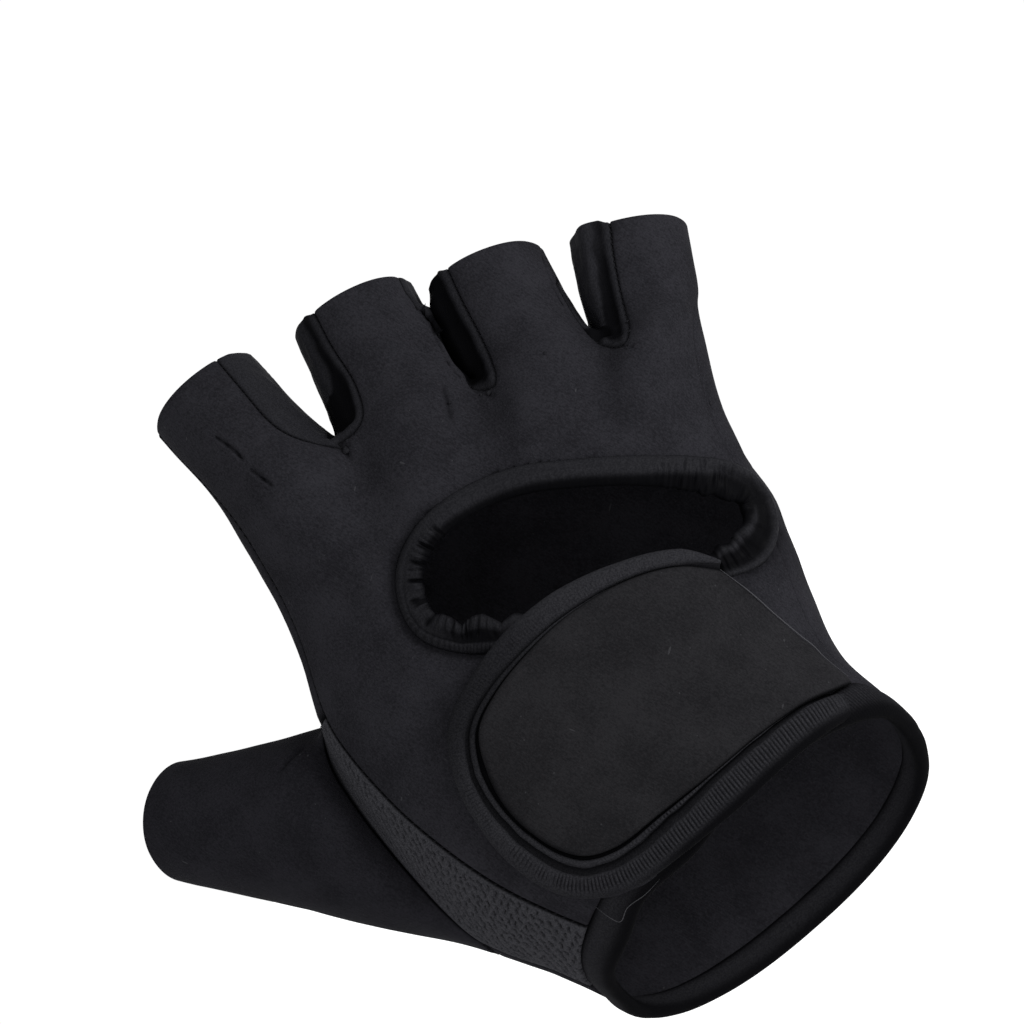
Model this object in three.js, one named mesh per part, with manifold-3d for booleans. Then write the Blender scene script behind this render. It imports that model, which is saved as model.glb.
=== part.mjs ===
// Fingerless fitness glove for a right hand, in millimetres, fingers up (+Z), back of the hand towards -Y,
// thumb towards -X. The origin is the middle of the wrist opening.
import * as THREE from 'three';
import Module from 'manifold-3d';

// Driving dimensions
const WALL = 1.5;
const FOURCHETTE_WALL = 1.1;
const SEAM_GAP = 0.4;
// The walls are thinner close to the ends of the webs, where four seams meet
const WEB_END = { share: 0.25, reach: 6 };
const SECTION_POWER = 2.3;
const FINGER_POWER = 2.15;
const BACK_COLUMNS = 16;
const COLUMNS = 38;
const SUBDIVISIONS = 1;

// The hand's body, one row for each ring from the wrist to the webs. x of the two sides, z at the thumb side,
// little-finger side, back and palm, y of the middle, half depth, and x of the back panel's seam to the thumb side
const BODY = table(
  ['xThumb', 'xLittle', 'zThumb', 'zLittle', 'zBack', 'zPalm', 'yMid', 'halfDepth', 'xSeam'],
  [
    [-37.0, 34.2, 1.5, 8.0, 17.5, -10.0, 0.0, 20.0, -30.5],
    [-41.0, 33.4, 8.0, 13.0, 22.5, -1.0, 0.5, 20.0, -34.0],
    [-47.0, 31.2, 15.5, 20.0, 29.0, 8.0, 1.0, 19.5, -38.0],
    [-48.6, 33.0, 27.0, 31.0, 38.0, 20.0, 2.0, 19.0, -41.6],
    [-49.6, 36.6, 39.0, 42.0, 47.0, 33.0, 3.0, 18.5, -44.8],
    [-50.0, 37.9, 51.0, 53.0, 57.0, 46.0, 4.0, 17.5, -46.4],
    [-48.4, 38.8, 62.5, 63.0, 67.0, 59.0, 5.0, 16.5, -47.6],
    [-41.5, 42.2, 76.5, 73.0, 79.0, 74.0, 6.0, 15.5, -41.2],
    [-39.3, 47.4, 97.0, 84.0, 92.0, 92.0, 8.0, 14.0, -39.2],
  ],
);
const LITTLE_SEAM_INSET = 1.8;
const PALM_EDGE_THUMB_SIDE = 3.2;
const PALM_EDGE_LITTLE_SIDE = 2.4;

// The webs between neighbouring fingers: x, then y and z at the back and at the palm
const WEBS = table(
  ['x', 'yBack', 'zBack', 'yPalm', 'zPalm'],
  [
    [-16.4, 0.0, 100.6, 15.0, 101.5],
    [8.0, 0.0, 94.0, 17.0, 97.5],
    [29.6, 1.0, 87.6, 17.0, 92.0],
  ],
);
const WEB_DIP = 2.0;
// The two outer root edges of the row of fingers: the back seam, two points round the side, the palm's edge
const INDEX_ROOT = [[-39.2, 3.0, 98.0], [-39.9, 7.0, 98.0], [-39.9, 10.5, 98.0], [-37.5, 15.0, 98.0]];
const LITTLE_ROOT = [[46.0, 3.0, 83.8], [47.2, 6.5, 84.0], [47.0, 10.0, 84.3], [45.2, 13.5, 84.5]];
const ROOT_ENDS = { index: 97.5, littleBack: 83.0, littlePalm: 84.0 };
const KNUCKLE = { yBack: -1.5, bulgeBack: 5.5, rise: 1.0, yPalm: 17.0, bulgePalm: 4.0 };

// Finger sleeves, one row for each section from the root to the cuff. Lift is how far the back edge leans to the
// tip, and turn is how far the seam facing the next finger swings round the section, in degrees
const SECTION = ['x', 'y', 'z', 'halfWidth', 'halfDepth', 'lift', 'turn'];
// Seams: angles of the four seams of a sleeve, 0 = little-finger side, 90 = back, 180 = thumb side
const FINGERS = [
  {
    name: 'index', lean: [-0.08, 0.997], turning: 'right',
    seams: { backLeft: 177, backRight: 58, palmRight: -35, palmLeft: -150 },
    rows: table(SECTION, [
      [-28.4, 8.0, 106.0, 11.0, 9.6, 1.0, 8],
      [-29.4, 10.0, 113.0, 10.8, 9.4, 2.4, 2],
      [-30.3, 13.0, 120.3, 10.8, 9.2, 4.0, 0],
    ]),
  },
  {
    name: 'middle', lean: [0.13, 0.99], turning: 'left',
    seams: { backLeft: 123, backRight: 20, palmRight: -46, palmLeft: -160 },
    rows: table(SECTION, [
      [-4.4, 8.5, 102.5, 11.6, 9.8, 1.6, -22],
      [-2.9, 10.5, 109.5, 11.4, 9.6, 3.0, -10],
      [-1.4, 13.0, 116.4, 11.2, 9.3, 4.4, 0],
    ]),
  },
  {
    name: 'ring', lean: [0.23, 0.97], turning: 'left',
    seams: { backLeft: 119, backRight: 20, palmRight: -46, palmLeft: -160 },
    rows: table(SECTION, [
      [18.6, 9.0, 96.5, 11.2, 9.6, 1.6, -20],
      [20.0, 11.0, 103.0, 10.9, 9.4, 2.8, -9],
      [21.0, 13.0, 109.0, 10.6, 9.2, 4.0, 0],
    ]),
  },
  {
    name: 'little', lean: [0.42, 0.9], turning: 'left',
    seams: { backLeft: 108, backRight: -8, palmRight: -50, palmLeft: -160 },
    rows: table(SECTION, [
      [39.2, 9.0, 89.0, 10.6, 9.2, 1.6, -18],
      [41.6, 10.5, 94.5, 10.7, 9.0, 2.4, -8],
      [44.2, 12.0, 99.8, 10.6, 8.8, 3.2, 0],
    ]),
  },
];

// Thumb sleeve, from the base to the cuff: x and z of its upper and lower edge, y of the middle, half depth, lift
const THUMB = table(
  ['xTop', 'zTop', 'xLow', 'zLow', 'y', 'halfDepth', 'lift'],
  [
    [-51.5, 64.9, -55.0, 23.5, 11.0, 13.5, 1.5],
    [-57.5, 66.9, -64.3, 34.0, 15.0, 13.0, 3.0],
    [-64.0, 69.2, -73.2, 44.3, 20.0, 12.0, 5.0],
    [-70.3, 72.0, -82.6, 54.6, 24.5, 10.6, 7.2],
  ],
);
const THUMB_LEAN = [-0.8, 0.6];
// The thumb grows out of the rings and columns named here
const THUMB_HOLE = { firstRow: 2, lastRow: 6, firstColumn: 32, lastColumn: 36 };
const MESH_STRIP = { lastRow: 6, firstColumn: 36 };

// Opening over the back of the hand: x and z of its inner edge, clockwise from the thumb end
const OPENING = [
  [-19.9, 67.5], [-18.6, 73.2], [-13.6, 76.6], [-5.0, 77.2], [3.4, 75.0], [11.8, 70.4], [19.8, 65.0],
  [26.8, 58.6], [31.6, 51.6], [30.2, 47.6], [22.0, 48.4], [12.4, 51.4], [2.4, 54.3], [-7.0, 57.6], [-15.6, 62.6],
];
const OPENING_BAND = { width: 5.4, thickness: 2.8, steps: 36 };

// Strap tab over the back of the wrist: x and z of its free edge from the opening's little-finger end, round the
// thumb end, to the little-finger end of the hem; its third side is the fold line between the last and first point
const TAB_EDGE = [
  [22.9, 44.4], [18.6, 48.4], [9.0, 52.4], [-1.0, 53.4], [-11.0, 52.6], [-20.0, 50.0], [-25.6, 46.4],
  [-28.7, 40.6], [-29.6, 33.8], [-28.2, 26.0], [-24.2, 20.2], [-18.0, 17.6], [-8.0, 17.4], [2.0, 17.5],
  [12.0, 17.9], [21.0, 17.6], [28.6, 16.4],
];
const TAB = { steps: 32, rings: 3, thickness: 2.2, foldThickness: 1.1, lift: 1.7, foldLift: 0.35, ramp: 9 };
// The fold line passes over the opening's binding at its upper end and over the wrist binding at its lower end
const FOLD_ENDS = { lift: 1.2, lowZ: 17, lowInnerZ: 24, highInnerZ: 34, highZ: 41 };
const STRAP_BAND = { width: 4.6, thickness: 2.6, steps: 34 };

// Fastening patch between the tab and the glove: centre, half sizes and thickness
const PATCH = { x: -14, z: 36, halfWidth: 10, halfHeight: 11, lift: 0.35, thickness: 1.0, steps: 20, rings: 2 };

// Rolled binding round the wrist
const HEM = { width: 4.8, thickness: 3.2, gap: 0.5, steps: 36 };
const BAND_SECTION = 8;

// Largest share of the half width at which the back is still read as a height over x and z
const SIDE_LIMIT = 0.985;

function table(names, rows) {
  return rows.map((row) => Object.fromEntries(names.map((name, column) => [name, row[column]])));
}

function mix(a, b, t) {
  return a + (b - a) * t;
}

function signedPower(value, power) {
  return Math.sign(value) * Math.abs(value) ** power;
}

// The body's row at a whole or broken row number, carried on in a straight line past both ends
function bodyRow(number) {
  const first = Math.min(Math.max(Math.floor(number), 0), BODY.length - 2);
  const t = number - first;
  const low = BODY[first];
  const high = BODY[first + 1];
  return Object.fromEntries(Object.keys(low).map((name) => [name, mix(low[name], high[name], t)]));
}

// A point of a body ring: across is -1 at the thumb side and 1 at the other, back is 1 at the back, -1 at the palm
function ringPoint(row, across, back) {
  const centre = (row.xThumb + row.xLittle) / 2;
  const half = (row.xLittle - row.xThumb) / 2;
  const sideHeight = (row.zThumb + row.zLittle) / 2;
  const slope = mix(row.zThumb, row.zLittle, (across + 1) / 2);
  const lean = back > 0 ? row.zBack - sideHeight : sideHeight - row.zPalm;
  return new THREE.Vector3(centre + half * across, row.yMid - row.halfDepth * back, slope + lean * back);
}

function ringPointAtX(row, x, side) {
  const centre = (row.xThumb + row.xLittle) / 2;
  const half = (row.xLittle - row.xThumb) / 2;
  const across = THREE.MathUtils.clamp((x - centre) / half, -1, 1);
  const back = side * (1 - Math.abs(across) ** SECTION_POWER) ** (1 / SECTION_POWER);
  return ringPoint(row, across, back);
}

function ringPointAtAngle(row, degrees) {
  const angle = THREE.MathUtils.degToRad(degrees);
  const across = signedPower(Math.cos(angle), 2 / SECTION_POWER);
  const back = signedPower(Math.sin(angle), 2 / SECTION_POWER);
  return ringPoint(row, across, back);
}

// The cage of quads that the smooth glove follows. Columns run from the thumb side over the back to the little
// finger (0 to 16), round the side (17, 18), over the palm (19 to 35) and up the thumb side (36, 37)
function buildCage() {
  const points = [];
  const quads = [];
  const add = (point) => points.push(point) - 1;
  const addQuad = (piece, corners) => quads.push({ piece, corners });
  const palmColumn = (column) => 19 + BACK_COLUMNS - column;

  const rings = BODY.map((row) => {
    const ring = [];
    const backRight = row.xLittle - LITTLE_SEAM_INSET;
    const palmLeft = row.xThumb + PALM_EDGE_THUMB_SIDE;
    const palmRight = row.xLittle - PALM_EDGE_LITTLE_SIDE;
    for (let column = 0; column <= BACK_COLUMNS; column += 1) {
      ring.push(add(ringPointAtX(row, mix(row.xSeam, backRight, column / BACK_COLUMNS), 1)));
    }
    ring.push(add(ringPointAtAngle(row, 4)), add(ringPointAtAngle(row, -8)));
    for (let column = 0; column <= BACK_COLUMNS; column += 1) {
      ring.push(add(ringPointAtX(row, mix(palmRight, palmLeft, column / BACK_COLUMNS), -1)));
    }
    const centre = (row.xThumb + row.xLittle) / 2;
    const seamShare = (row.xSeam - centre) / ((row.xLittle - row.xThumb) / 2);
    const seamAngle = THREE.MathUtils.radToDeg(Math.acos(Math.max(seamShare, -1)));
    ring.push(add(ringPointAtAngle(row, 182)), add(ringPointAtAngle(row, (seamAngle + 182) / 2)));
    return ring;
  });

  // The top ring follows the knuckles and webs
  const top = rings[rings.length - 1];
  const rootX = [BODY.at(-1).xSeam, ...WEBS.map((web) => web.x), BODY.at(-1).xLittle - LITTLE_SEAM_INSET];
  const rootBack = [ROOT_ENDS.index, ...WEBS.map((web) => web.zBack), ROOT_ENDS.littleBack];
  const rootPalm = [ROOT_ENDS.index, ...WEBS.map((web) => web.zPalm), ROOT_ENDS.littlePalm];
  for (let finger = 0; finger < FINGERS.length; finger += 1) {
    for (let step = 0; step <= 4; step += 1) {
      const t = step / 4;
      const bulge = Math.sin(Math.PI * t);
      const x = mix(rootX[finger], rootX[finger + 1], t);
      const zBack = mix(rootBack[finger], rootBack[finger + 1], t) + KNUCKLE.rise * bulge;
      const zPalm = mix(rootPalm[finger], rootPalm[finger + 1], t);
      points[top[4 * finger + step]].set(x, KNUCKLE.yBack - KNUCKLE.bulgeBack * bulge, zBack);
      points[top[palmColumn(4 * finger + step)]].set(x, KNUCKLE.yPalm + KNUCKLE.bulgePalm * bulge, zPalm);
    }
  }
  WEBS.forEach((web, index) => {
    points[top[4 * index + 4]].set(web.x, web.yBack, web.zBack);
    points[top[palmColumn(4 * index + 4)]].set(web.x, web.yPalm, web.zPalm);
  });
  [0, 37, 36, 35].forEach((column, index) => points[top[column]].set(...INDEX_ROOT[index]));
  [16, 17, 18, 19].forEach((column, index) => points[top[column]].set(...LITTLE_ROOT[index]));
  const webPoints = WEBS.map((web) => [1 / 3, 2 / 3].map((t) => add(new THREE.Vector3(
    web.x,
    mix(web.yBack, web.yPalm, t),
    mix(web.zBack, web.zPalm, t) - WEB_DIP * Math.sin(Math.PI * t),
  ))));

  for (let row = 0; row < BODY.length - 1; row += 1) {
    for (let column = 0; column < COLUMNS; column += 1) {
      const next = (column + 1) % COLUMNS;
      const atThumb = row >= THUMB_HOLE.firstRow && row < THUMB_HOLE.lastRow
        && column >= THUMB_HOLE.firstColumn && column < THUMB_HOLE.lastColumn;
      if (atThumb) continue;
      let piece = 'palm_panel';
      if (column < BACK_COLUMNS) piece = 'back_panel';
      if (column >= MESH_STRIP.firstColumn && row < MESH_STRIP.lastRow) piece = 'side_mesh';
      addQuad(piece, [rings[row][column], rings[row][next], rings[row + 1][next], rings[row + 1][column]]);
    }
  }

  FINGERS.forEach((finger, index) => {
    const back = [0, 1, 2, 3, 4].map((step) => top[4 * index + step]);
    const palm = [4, 3, 2, 1, 0].map((step) => top[palmColumn(4 * index + step)]);
    const littleSide = index < 3 ? webPoints[index] : [top[17], top[18]];
    const thumbSide = index > 0 ? [...webPoints[index - 1]].reverse() : [top[36], top[37]];
    let previous = [...back, ...littleSide, ...palm, ...thumbSide];
    for (const section of finger.rows) {
      const ring = fingerSection(finger, section).map(add);
      for (let side = 0; side < ring.length; side += 1) {
        const next = (side + 1) % ring.length;
        const corners = [previous[side], previous[next], ring[next], ring[side]];
        addQuad(fingerPiece(index, side), corners);
      }
      previous = ring;
    }
  });

  // The thumb's first loop runs down its near side, along the bottom, up the hidden side and back along the top
  const { firstRow, lastRow, firstColumn, lastColumn } = THUMB_HOLE;
  const loop = [];
  for (let row = lastRow; row > firstRow; row -= 1) loop.push(rings[row][lastColumn]);
  for (let column = lastColumn; column > firstColumn; column -= 1) loop.push(rings[firstRow][column]);
  for (let row = firstRow; row < lastRow; row += 1) loop.push(rings[row][firstColumn]);
  for (let column = firstColumn; column < lastColumn; column += 1) loop.push(rings[lastRow][column]);
  let previous = loop;
  for (const section of THUMB) {
    const ring = thumbSection(section, loop.length).map(add);
    for (let side = 0; side < ring.length; side += 1) {
      const next = (side + 1) % ring.length;
      addQuad('thumb_sleeve', [previous[next], previous[side], ring[side], ring[next]]);
    }
    previous = ring;
  }
  return { points, quads };
}

// Fourteen points round a finger: five over the back, two down the side, five over the palm, two up the side
function fingerSection(finger, section) {
  const { backLeft, backRight, palmRight, palmLeft } = finger.seams;
  const angles = [];
  for (let step = 0; step <= 4; step += 1) angles.push(mix(backLeft, backRight, step / 4));
  for (let step = 1; step <= 2; step += 1) angles.push(mix(backRight, palmRight, step / 3));
  for (let step = 0; step <= 4; step += 1) angles.push(mix(palmRight, palmLeft, step / 4));
  for (let step = 1; step <= 2; step += 1) angles.push(mix(palmLeft, backLeft - 360, step / 3));
  const shares = finger.turning === 'right' ? { 3: 0.6, 4: 1, 5: 0.6 } : { 12: 0.3, 13: 0.6, 0: 1, 1: 0.6, 2: 0.3 };
  const [leanX, leanZ] = finger.lean;
  return angles.map((degrees, side) => {
    const angle = THREE.MathUtils.degToRad(degrees + section.turn * (shares[side] ?? 0));
    const across = signedPower(Math.cos(angle), 2 / FINGER_POWER) * section.halfWidth;
    const back = signedPower(Math.sin(angle), 2 / FINGER_POWER);
    return new THREE.Vector3(
      section.x + across * leanZ + section.lift * back * leanX,
      section.y - section.halfDepth * back,
      section.z - across * leanX + section.lift * back * leanZ,
    );
  });
}

function fingerPiece(index, side) {
  const webs = ['fourchette_index_middle', 'fourchette_middle_ring', 'fourchette_ring_little'];
  if (side < 4) return 'back_panel';
  if (side < 7) return webs[index] ?? 'palm_panel';
  if (side < 11) return 'palm_panel';
  return webs[index - 1] ?? 'palm_panel';
}

function thumbSection(section, count) {
  const halfHeight = Math.hypot(section.xTop - section.xLow, section.zTop - section.zLow) / 2;
  const upX = (section.xTop - section.xLow) / 2 / halfHeight;
  const upZ = (section.zTop - section.zLow) / 2 / halfHeight;
  const [leanX, leanZ] = THUMB_LEAN;
  return Array.from({ length: count }, (_, side) => {
    const angle = THREE.MathUtils.degToRad(45 + (360 * side) / count);
    const up = Math.cos(angle) * halfHeight;
    const near = Math.sin(angle);
    return new THREE.Vector3(
      (section.xTop + section.xLow) / 2 + up * upX + section.lift * near * leanX,
      section.y - section.halfDepth * near,
      (section.zTop + section.zLow) / 2 + up * upZ + section.lift * near * leanZ,
    );
  });
}

// One round of smooth (Catmull-Clark) subdivision of a mesh of quads
function subdivide({ points, quads }) {
  const centres = quads.map(({ corners }) => average(corners.map((corner) => points[corner])));
  const edges = new Map();
  const edgeOf = (a, b) => {
    const key = a < b ? `${a}_${b}` : `${b}_${a}`;
    if (!edges.has(key)) edges.set(key, { ends: [a, b], faces: [], index: edges.size });
    return edges.get(key);
  };
  const faceEdges = quads.map(({ corners }, face) => corners.map((corner, side) => {
    const edge = edgeOf(corner, corners[(side + 1) % 4]);
    edge.faces.push(face);
    return edge;
  }));
  const around = points.map(() => ({ faces: [], middles: [], rim: [] }));
  quads.forEach(({ corners }, face) => corners.forEach((corner) => around[corner].faces.push(centres[face])));
  const edgePoints = [];
  for (const edge of edges.values()) {
    const [a, b] = edge.ends;
    const middle = average([points[a], points[b]]);
    around[a].middles.push(middle);
    around[b].middles.push(middle);
    if (edge.faces.length === 1) {
      around[a].rim.push(points[b]);
      around[b].rim.push(points[a]);
      edgePoints.push(middle);
    } else {
      edgePoints.push(average([middle, middle, ...edge.faces.map((face) => centres[face])]));
    }
  }
  const cornerPoints = points.map((point, index) => {
    const { faces, middles, rim } = around[index];
    if (rim.length > 0) return point.clone().multiplyScalar(0.75).addScaledVector(average(rim), 0.25);
    const count = faces.length;
    return point.clone().multiplyScalar((count - 3) / count)
      .addScaledVector(average(faces), 1 / count)
      .addScaledVector(average(middles), 2 / count);
  });
  const edgeStart = points.length;
  const centreStart = edgeStart + edgePoints.length;
  const finer = quads.flatMap(({ piece, corners }, face) => corners.map((corner, side) => ({
    piece,
    corners: [
      corner,
      edgeStart + faceEdges[face][side].index,
      centreStart + face,
      edgeStart + faceEdges[face][(side + 3) % 4].index,
    ],
  })));
  return { points: [...cornerPoints, ...edgePoints, ...centres], quads: finer };
}

function average(vectors) {
  const sum = new THREE.Vector3();
  vectors.forEach((vector) => sum.add(vector));
  return sum.divideScalar(vectors.length);
}

// Outward normals of the whole smooth surface, shared by the pieces that meet at a seam
function surfaceNormals({ points, quads }) {
  const normals = points.map(() => new THREE.Vector3());
  for (const { corners } of quads) {
    const [a, b, c, d] = corners.map((corner) => points[corner]);
    const across = new THREE.Vector3().subVectors(c, a);
    const normal = across.cross(new THREE.Vector3().subVectors(d, b));
    corners.forEach((corner) => normals[corner].add(normal));
  }
  normals.forEach((normal) => normal.normalize());
  return normals;
}

// A panel of the surface as a closed wall: its quads, the same quads one wall further in, and its rim
function panelGeometry(surface, normals, piece, wall = WALL) {
  const faces = surface.quads.filter((quad) => quad.piece === piece).map(({ corners }) => corners);
  const rimEdges = new Map();
  for (const corners of faces) {
    corners.forEach((corner, side) => {
      const next = corners[(side + 1) % 4];
      if (rimEdges.has(`${next}_${corner}`)) rimEdges.delete(`${next}_${corner}`);
      else rimEdges.set(`${corner}_${next}`, [corner, next]);
    });
  }
  const rim = new Set([...rimEdges.values()].flat());
  const skins = [0, -wall].map((depth) => drawIn(surface, normals, faces, rim, depth));
  const outer = new Map();
  const positions = [];
  for (const corner of new Set(faces.flat())) {
    outer.set(corner, positions.length);
    positions.push(skins[0](corner), skins[1](corner));
  }
  const triangles = [];
  for (const corners of faces) {
    const [a, b, c, d] = corners.map((corner) => outer.get(corner));
    triangles.push([a, b, c], [a, c, d], [a + 1, c + 1, b + 1], [a + 1, d + 1, c + 1]);
  }
  for (const [from, to] of rimEdges.values()) {
    const a = outer.get(from);
    const b = outer.get(to);
    triangles.push([b, a, a + 1], [b, a + 1, b + 1]);
  }
  return geometryFrom(positions, triangles);
}

// The points of one skin of a panel, at its depth below the surface. Points on the rim are drawn in from the seam
function drawIn(surface, normals, faces, rim, depth) {
  const skinPoint = (corner) => {
    const point = surface.points[corner];
    return point.clone().addScaledVector(normals[corner], depth * wallShare(point));
  };
  const inward = new Map([...rim].map((corner) => [corner, new THREE.Vector3()]));
  for (const corners of faces) {
    const centre = average(corners.map(skinPoint));
    corners.filter((corner) => rim.has(corner)).forEach((corner) => {
      inward.get(corner).add(centre.clone().sub(skinPoint(corner)).normalize());
    });
  }
  return (corner) => {
    const point = skinPoint(corner);
    if (!rim.has(corner)) return point;
    return point.add(inward.get(corner).projectOnPlane(normals[corner]).setLength(SEAM_GAP / 2));
  };
}

function wallShare(point) {
  const ends = WEBS.flatMap((web) => [
    new THREE.Vector3(web.x, web.yBack, web.zBack),
    new THREE.Vector3(web.x, web.yPalm, web.zPalm),
  ]);
  const nearest = Math.min(...ends.map((end) => end.distanceTo(point)));
  return mix(WEB_END.share, 1, THREE.MathUtils.smoothstep(nearest, 0, WEB_END.reach));
}

function geometryFrom(positions, triangles) {
  const geometry = new THREE.BufferGeometry();
  geometry.setAttribute('position', new THREE.Float32BufferAttribute(positions.flatMap((p) => [p.x, p.y, p.z]), 3));
  geometry.setIndex(triangles.flat());
  return geometry;
}

// The back of the glove as a height over x and z: the point, and its outward normal
function backPoint(x, z) {
  let low = -2;
  let high = BODY.length - 1;
  for (let pass = 0; pass < 26; pass += 1) {
    const middle = (low + high) / 2;
    if (backAt(middle, x).z < z) low = middle;
    else high = middle;
  }
  return backAt((low + high) / 2, x);
}

function backAt(number, x) {
  const row = bodyRow(number);
  const centre = (row.xThumb + row.xLittle) / 2;
  const reach = ((row.xLittle - row.xThumb) / 2) * SIDE_LIMIT;
  return ringPointAtX(row, THREE.MathUtils.clamp(x, centre - reach, centre + reach), 1);
}

function backNormal(x, z) {
  const step = 0.6;
  const acrossX = backPoint(x + step, z).sub(backPoint(x - step, z));
  const alongZ = backPoint(x, z + step).sub(backPoint(x, z - step));
  return acrossX.cross(alongZ).normalize();
}

function liftedPoint(x, z, lift) {
  return backPoint(x, z).addScaledVector(backNormal(x, z), lift);
}

// A closed pad on the back of the glove: its outline is shrunk in rings to a middle point, at two heights
function padGeometry(outline, middle, rings, low, high) {
  const positions = [];
  const levels = [low, high].map((height) => {
    const rows = [];
    for (let ring = rings; ring > 0; ring -= 1) {
      rows.push(outline.map(([x, z]) => {
        const px = mix(middle[0], x, ring / rings);
        const pz = mix(middle[1], z, ring / rings);
        return positions.push(liftedPoint(px, pz, height(px, pz))) - 1;
      }));
    }
    const centre = positions.push(liftedPoint(middle[0], middle[1], height(...middle))) - 1;
    return { rows, centre };
  });
  const triangles = [];
  const count = outline.length;
  const [under, over] = levels;
  for (let index = 0; index < count; index += 1) {
    const next = (index + 1) % count;
    for (let ring = 0; ring < rings - 1; ring += 1) {
      addQuadTriangles(triangles, over.rows[ring][index], over.rows[ring][next],
        over.rows[ring + 1][next], over.rows[ring + 1][index]);
      addQuadTriangles(triangles, under.rows[ring][next], under.rows[ring][index],
        under.rows[ring + 1][index], under.rows[ring + 1][next]);
    }
    triangles.push([over.rows[rings - 1][index], over.rows[rings - 1][next], over.centre]);
    triangles.push([under.rows[rings - 1][next], under.rows[rings - 1][index], under.centre]);
    addQuadTriangles(triangles, under.rows[0][index], under.rows[0][next], over.rows[0][next], over.rows[0][index]);
  }
  return geometryFrom(positions, triangles);
}

function addQuadTriangles(triangles, a, b, c, d) {
  triangles.push([a, b, c], [a, c, d]);
}

// A band of rounded section along a path. Each stop has its point, the direction across the band and its normal
function bandGeometry(stops, width, thickness, closed) {
  const positions = [];
  const sections = stops.map(({ point, across, normal }) => Array.from({ length: BAND_SECTION }, (_, side) => {
    const angle = (2 * Math.PI * side) / BAND_SECTION;
    const wide = signedPower(Math.cos(angle), 0.6) * (width / 2);
    const thick = signedPower(Math.sin(angle), 0.8) * (thickness / 2);
    return positions.push(point.clone().addScaledVector(across, wide).addScaledVector(normal, thick)) - 1;
  }));
  const triangles = [];
  const last = closed ? sections.length : sections.length - 1;
  for (let stop = 0; stop < last; stop += 1) {
    const here = sections[stop];
    const there = sections[(stop + 1) % sections.length];
    for (let side = 0; side < BAND_SECTION; side += 1) {
      const next = (side + 1) % BAND_SECTION;
      addQuadTriangles(triangles, here[side], here[next], there[next], there[side]);
    }
  }
  if (!closed) {
    const start = sections[0];
    const end = sections.at(-1);
    for (let side = 1; side < BAND_SECTION - 1; side += 1) {
      triangles.push([start[0], start[side + 1], start[side]], [end[0], end[side], end[side + 1]]);
    }
  }
  return outwardGeometry(geometryFrom(positions, triangles));
}

// Turns a closed geometry's faces outward when its signed volume is negative
function outwardGeometry(geometry) {
  const position = geometry.getAttribute('position');
  const index = Array.from(geometry.getIndex().array);
  const [a, b, c] = [new THREE.Vector3(), new THREE.Vector3(), new THREE.Vector3()];
  let volume = 0;
  for (let start = 0; start < index.length; start += 3) {
    a.fromBufferAttribute(position, index[start]);
    b.fromBufferAttribute(position, index[start + 1]);
    c.fromBufferAttribute(position, index[start + 2]);
    volume += a.dot(b.cross(c));
  }
  if (volume < 0) {
    for (let start = 0; start < index.length; start += 3) {
      [index[start + 1], index[start + 2]] = [index[start + 2], index[start + 1]];
    }
    geometry.setIndex(index);
  }
  return geometry;
}

function flatCurve(corners, closed) {
  return new THREE.CatmullRomCurve3(corners.map(([x, z]) => new THREE.Vector3(x, 0, z)), closed, 'centripetal');
}

// Stops of a band that lies beside an edge drawn on the back, offset outward by half its width
function bandStops(edge, steps, closed, offset, height) {
  const curve = flatCurve(edge, closed);
  const samples = curve.getSpacedPoints(steps);
  if (closed) samples.pop();
  const count = samples.length;
  const at = (index) => (closed ? samples[(index + count) % count]
    : samples[THREE.MathUtils.clamp(index, 0, count - 1)]);
  return samples.map((sample, index) => {
    const before = at(index - 1);
    const after = at(index + 1);
    const outward = new THREE.Vector2(-(after.z - before.z), after.x - before.x).normalize();
    const x = sample.x + outward.x * offset;
    const z = sample.z + outward.y * offset;
    const normal = backNormal(x, z);
    const across = new THREE.Vector3(outward.x, 0, outward.y).projectOnPlane(normal).normalize();
    return { point: liftedPoint(x, z, height(sample.x, sample.z)), across, normal };
  });
}

// Height of the tab over the back: it lies down towards its fold line and rises over the fastening patch
function tabRamp(x, z) {
  const [first, last] = [TAB_EDGE[0], TAB_EDGE.at(-1)];
  const line = new THREE.Vector2(first[0] - last[0], first[1] - last[1]).normalize();
  const distance = -((x - last[0]) * line.y - (z - last[1]) * line.x);
  return THREE.MathUtils.smoothstep(distance, 0, TAB.ramp);
}

function foldLift(z) {
  const upper = THREE.MathUtils.smoothstep(z, FOLD_ENDS.highInnerZ, FOLD_ENDS.highZ);
  const lower = 1 - THREE.MathUtils.smoothstep(z, FOLD_ENDS.lowZ, FOLD_ENDS.lowInnerZ);
  return mix(TAB.foldLift, FOLD_ENDS.lift, Math.max(upper, lower));
}

const tabLow = (x, z) => mix(foldLift(z), TAB.lift, tabRamp(x, z));
const tabHigh = (x, z) => tabLow(x, z) + mix(TAB.foldThickness, TAB.thickness, tabRamp(x, z));

function strapTab() {
  const edge = flatCurve(TAB_EDGE, false).getSpacedPoints(TAB.steps).map((point) => [point.x, point.z]);
  const fold = [1, 2, 3].map((step) => [
    mix(TAB_EDGE.at(-1)[0], TAB_EDGE[0][0], step / 4),
    mix(TAB_EDGE.at(-1)[1], TAB_EDGE[0][1], step / 4),
  ]);
  const middle = [-2, 34];
  return outwardGeometry(padGeometry([...edge, ...fold], middle, TAB.rings, tabLow, tabHigh));
}

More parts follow.
